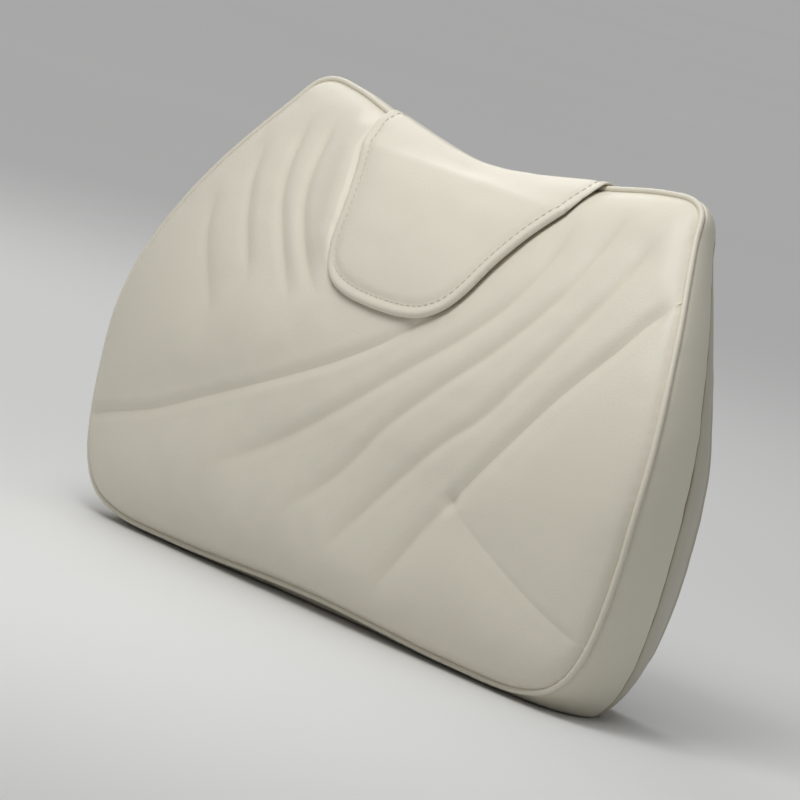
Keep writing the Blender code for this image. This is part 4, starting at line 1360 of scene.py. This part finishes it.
def ellipse(half_x, half_z, power, count, centre=(0.0, 0.0)):
    """A rounded rectangle as a superellipse."""
    t = np.linspace(0, 2 * math.pi, count, endpoint=False)
    c, s = np.cos(t), np.sin(t)
    x = half_x * np.sign(c) * np.abs(c) ** (2 / power)
    z = half_z * np.sign(s) * np.abs(s) ** (2 / power)
    return np.stack([x + centre[0], z + centre[1]], axis=1)


def metal_piece(name, bm, body, node):
    bmesh.ops.recalc_face_normals(bm, faces=bm.faces)
    mesh = bpy.data.meshes.new(name)
    bm.to_mesh(mesh)
    bm.free()
    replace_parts(finished(name, mesh, "metal", body), node)


def make_slider():
    """Top and bottom plates, the post between them, and the bridge that holds the pull."""
    low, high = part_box("zip_slider")
    middle_x, half_x = (low.x + high.x) / 2, (high.x - low.x) / 2
    half_z = (high.z - low.z) / 2
    bm = bmesh.new()
    for top_y, thick in ((REAR_Y - 0.0027, 0.0010), (REAR_Y - 0.0072, 0.0008)):
        t = np.linspace(0, 2 * math.pi, 48, endpoint=False)
        waist = 1 - 0.10 * np.cos(t + math.pi) - 0.05 * np.cos(2 * t)
        outline = ellipse(half_x, half_z * 0.94, 3.0, 48) * np.stack([np.ones(48), waist / 1.15], 1)
        rounded_slab(bm, outline + [middle_x, ZIP_Z], top_y - thick, top_y, 0.00028)
    post = ellipse(0.0020, 0.00038, 2.0, 16, (middle_x, ZIP_Z))
    rounded_slab(bm, post, REAR_Y - 0.0074, REAR_Y - 0.0035, 0.00005)
    for side in (-1, 1):
        lug = ellipse(0.0013, 0.00045, 2.4, 16, (middle_x, ZIP_Z + side * 0.00285))
        rounded_slab(bm, lug, REAR_Y - 0.0030, REAR_Y - 0.0004, 0.00018)
    metal_piece("slider_body", bm, "slider", "zip_slider")


def make_pull():
    """A flat tab with a rounded end and a hole in it, on a pin across the slider's bridge."""
    low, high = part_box("zip_pull")
    x, y = PULL_AXIS.x, PULL_AXIS.y
    length, half_z = x - low.x, (high.z - low.z) / 2
    count, bevel = 40, 0.0003
    outer = ellipse(length / 2 - 0.0010, half_z, 3.0, count, (x - length / 2 - 0.0010, ZIP_Z))
    flare = 0.68 + 0.32 * smoothstep((x - 0.003 - outer[:, 0]) / 0.012)
    outer[:, 1] = ZIP_Z + (outer[:, 1] - ZIP_Z) * flare
    hole = ellipse(0.0030, 0.0013, 2.2, count, (x - length + 0.0058, ZIP_Z))
    bm = bmesh.new()
    heights = (y - 0.0006, y - 0.0003, y + 0.0003, y + 0.0006)
    rims = []
    for ring, inset in ((outer, bevel), (hole, -bevel)):
        small = drawn_in(ring, inset)
        rims.append([[bm.verts.new((px, level, pz)) for px, pz in rim]
                     for rim, level in zip((small, ring, ring, small), heights)])
    for loops in rims:
        for lower, upper in zip(loops, loops[1:]):
            bridge(bm, lower, upper)
    for level in (0, -1):
        bridge(bm, rims[0][level], rims[1][level])
    neck = ellipse(0.0022, 0.0015, 3.0, 24, (x - 0.0009, ZIP_Z))
    rounded_slab(bm, neck, y - 0.0005, y + 0.0005, 0.0002)
    pin = bmesh.ops.create_cone(bm, cap_ends=True, segments=20, radius1=0.0008, radius2=0.0008,
                                depth=0.0044)
    bmesh.ops.translate(bm, vec=(x, y, ZIP_Z), verts=pin["verts"])
    metal_piece("pull_tab", bm, "pull", "zip_pull")


def make_stops():
    """Crimped metal stops: rounded bars across the two tapes."""
    for side in ("left", "right"):
        low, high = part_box("zip_stop_" + side)
        middle = ((low.x + high.x) / 2, ZIP_Z)
        outline = ellipse((high.x - low.x) / 2, (high.z - low.z) / 2, 3.2, 32, middle)
        bm = bmesh.new()
        rounded_slab(bm, outline, low.y, high.y, 0.0005)
        metal_piece("stop_" + side, bm, "cushion", "zip_stop_" + side)


# ---- label and inner layers ----
def make_label():
    """A blank folded label, held in the side seam and standing a little off the leather."""
    middle = len(LOOP) - BOTTOM_RIGHT - 1.6 * LOOP_STEPS
    columns = middle + np.linspace(-6.5, 6.5, 14)
    along = np.linspace(0, 1, 14)
    rows = np.concatenate([along, along[::-1]])
    ply = np.repeat([0.0, 1.0], len(along))
    grid_index, grid_share = np.meshgrid(columns, BAND_SPLIT + 0.005 + 0.27 * rows)
    lift = 0.0008 + 0.0030 * rows ** 1.6 + 0.0007 * ply * np.sin(math.pi * (rows * 0.92 + 0.04))
    waved = 0.0006 * np.cos(np.linspace(0, 2.4 * math.pi, 14))[None, :] * rows[:, None]
    grid = side_points(grid_index, grid_share, lift[:, None] + waved)
    faces = grid_faces(len(rows), len(columns))
    obj = piece("blank_label", grid.reshape(-1, 3), faces, "label")
    solidify(obj, 0.00025)
    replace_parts(obj, "care_label")


HIDDEN = {"foam_core": "foam", "liner_front": "liner", "liner_back": "liner",
          "back_padding": "wadding", "zip_guard": "liner"}


def paint_kept_nodes():
    for node, mat in HIDDEN.items():
        obj = frame["nodes"][node]
        for slot in obj.material_slots:
            slot.material = MATS[mat]


make_camera()
make_stage()
RELIEF = Relief()
RELIEF.swell = simulated_swell(RELIEF)
make_front_panels(RELIEF)
make_welt()
make_bands()
make_tongue()
make_back()
for half, sign in (("upper", 1), ("lower", -1)):
    make_coil("zip_coil_" + half, sign)
    make_tape("zip_tape_" + half)
make_slider()
make_pull()
make_stops()
make_label()
paint_kept_nodes()
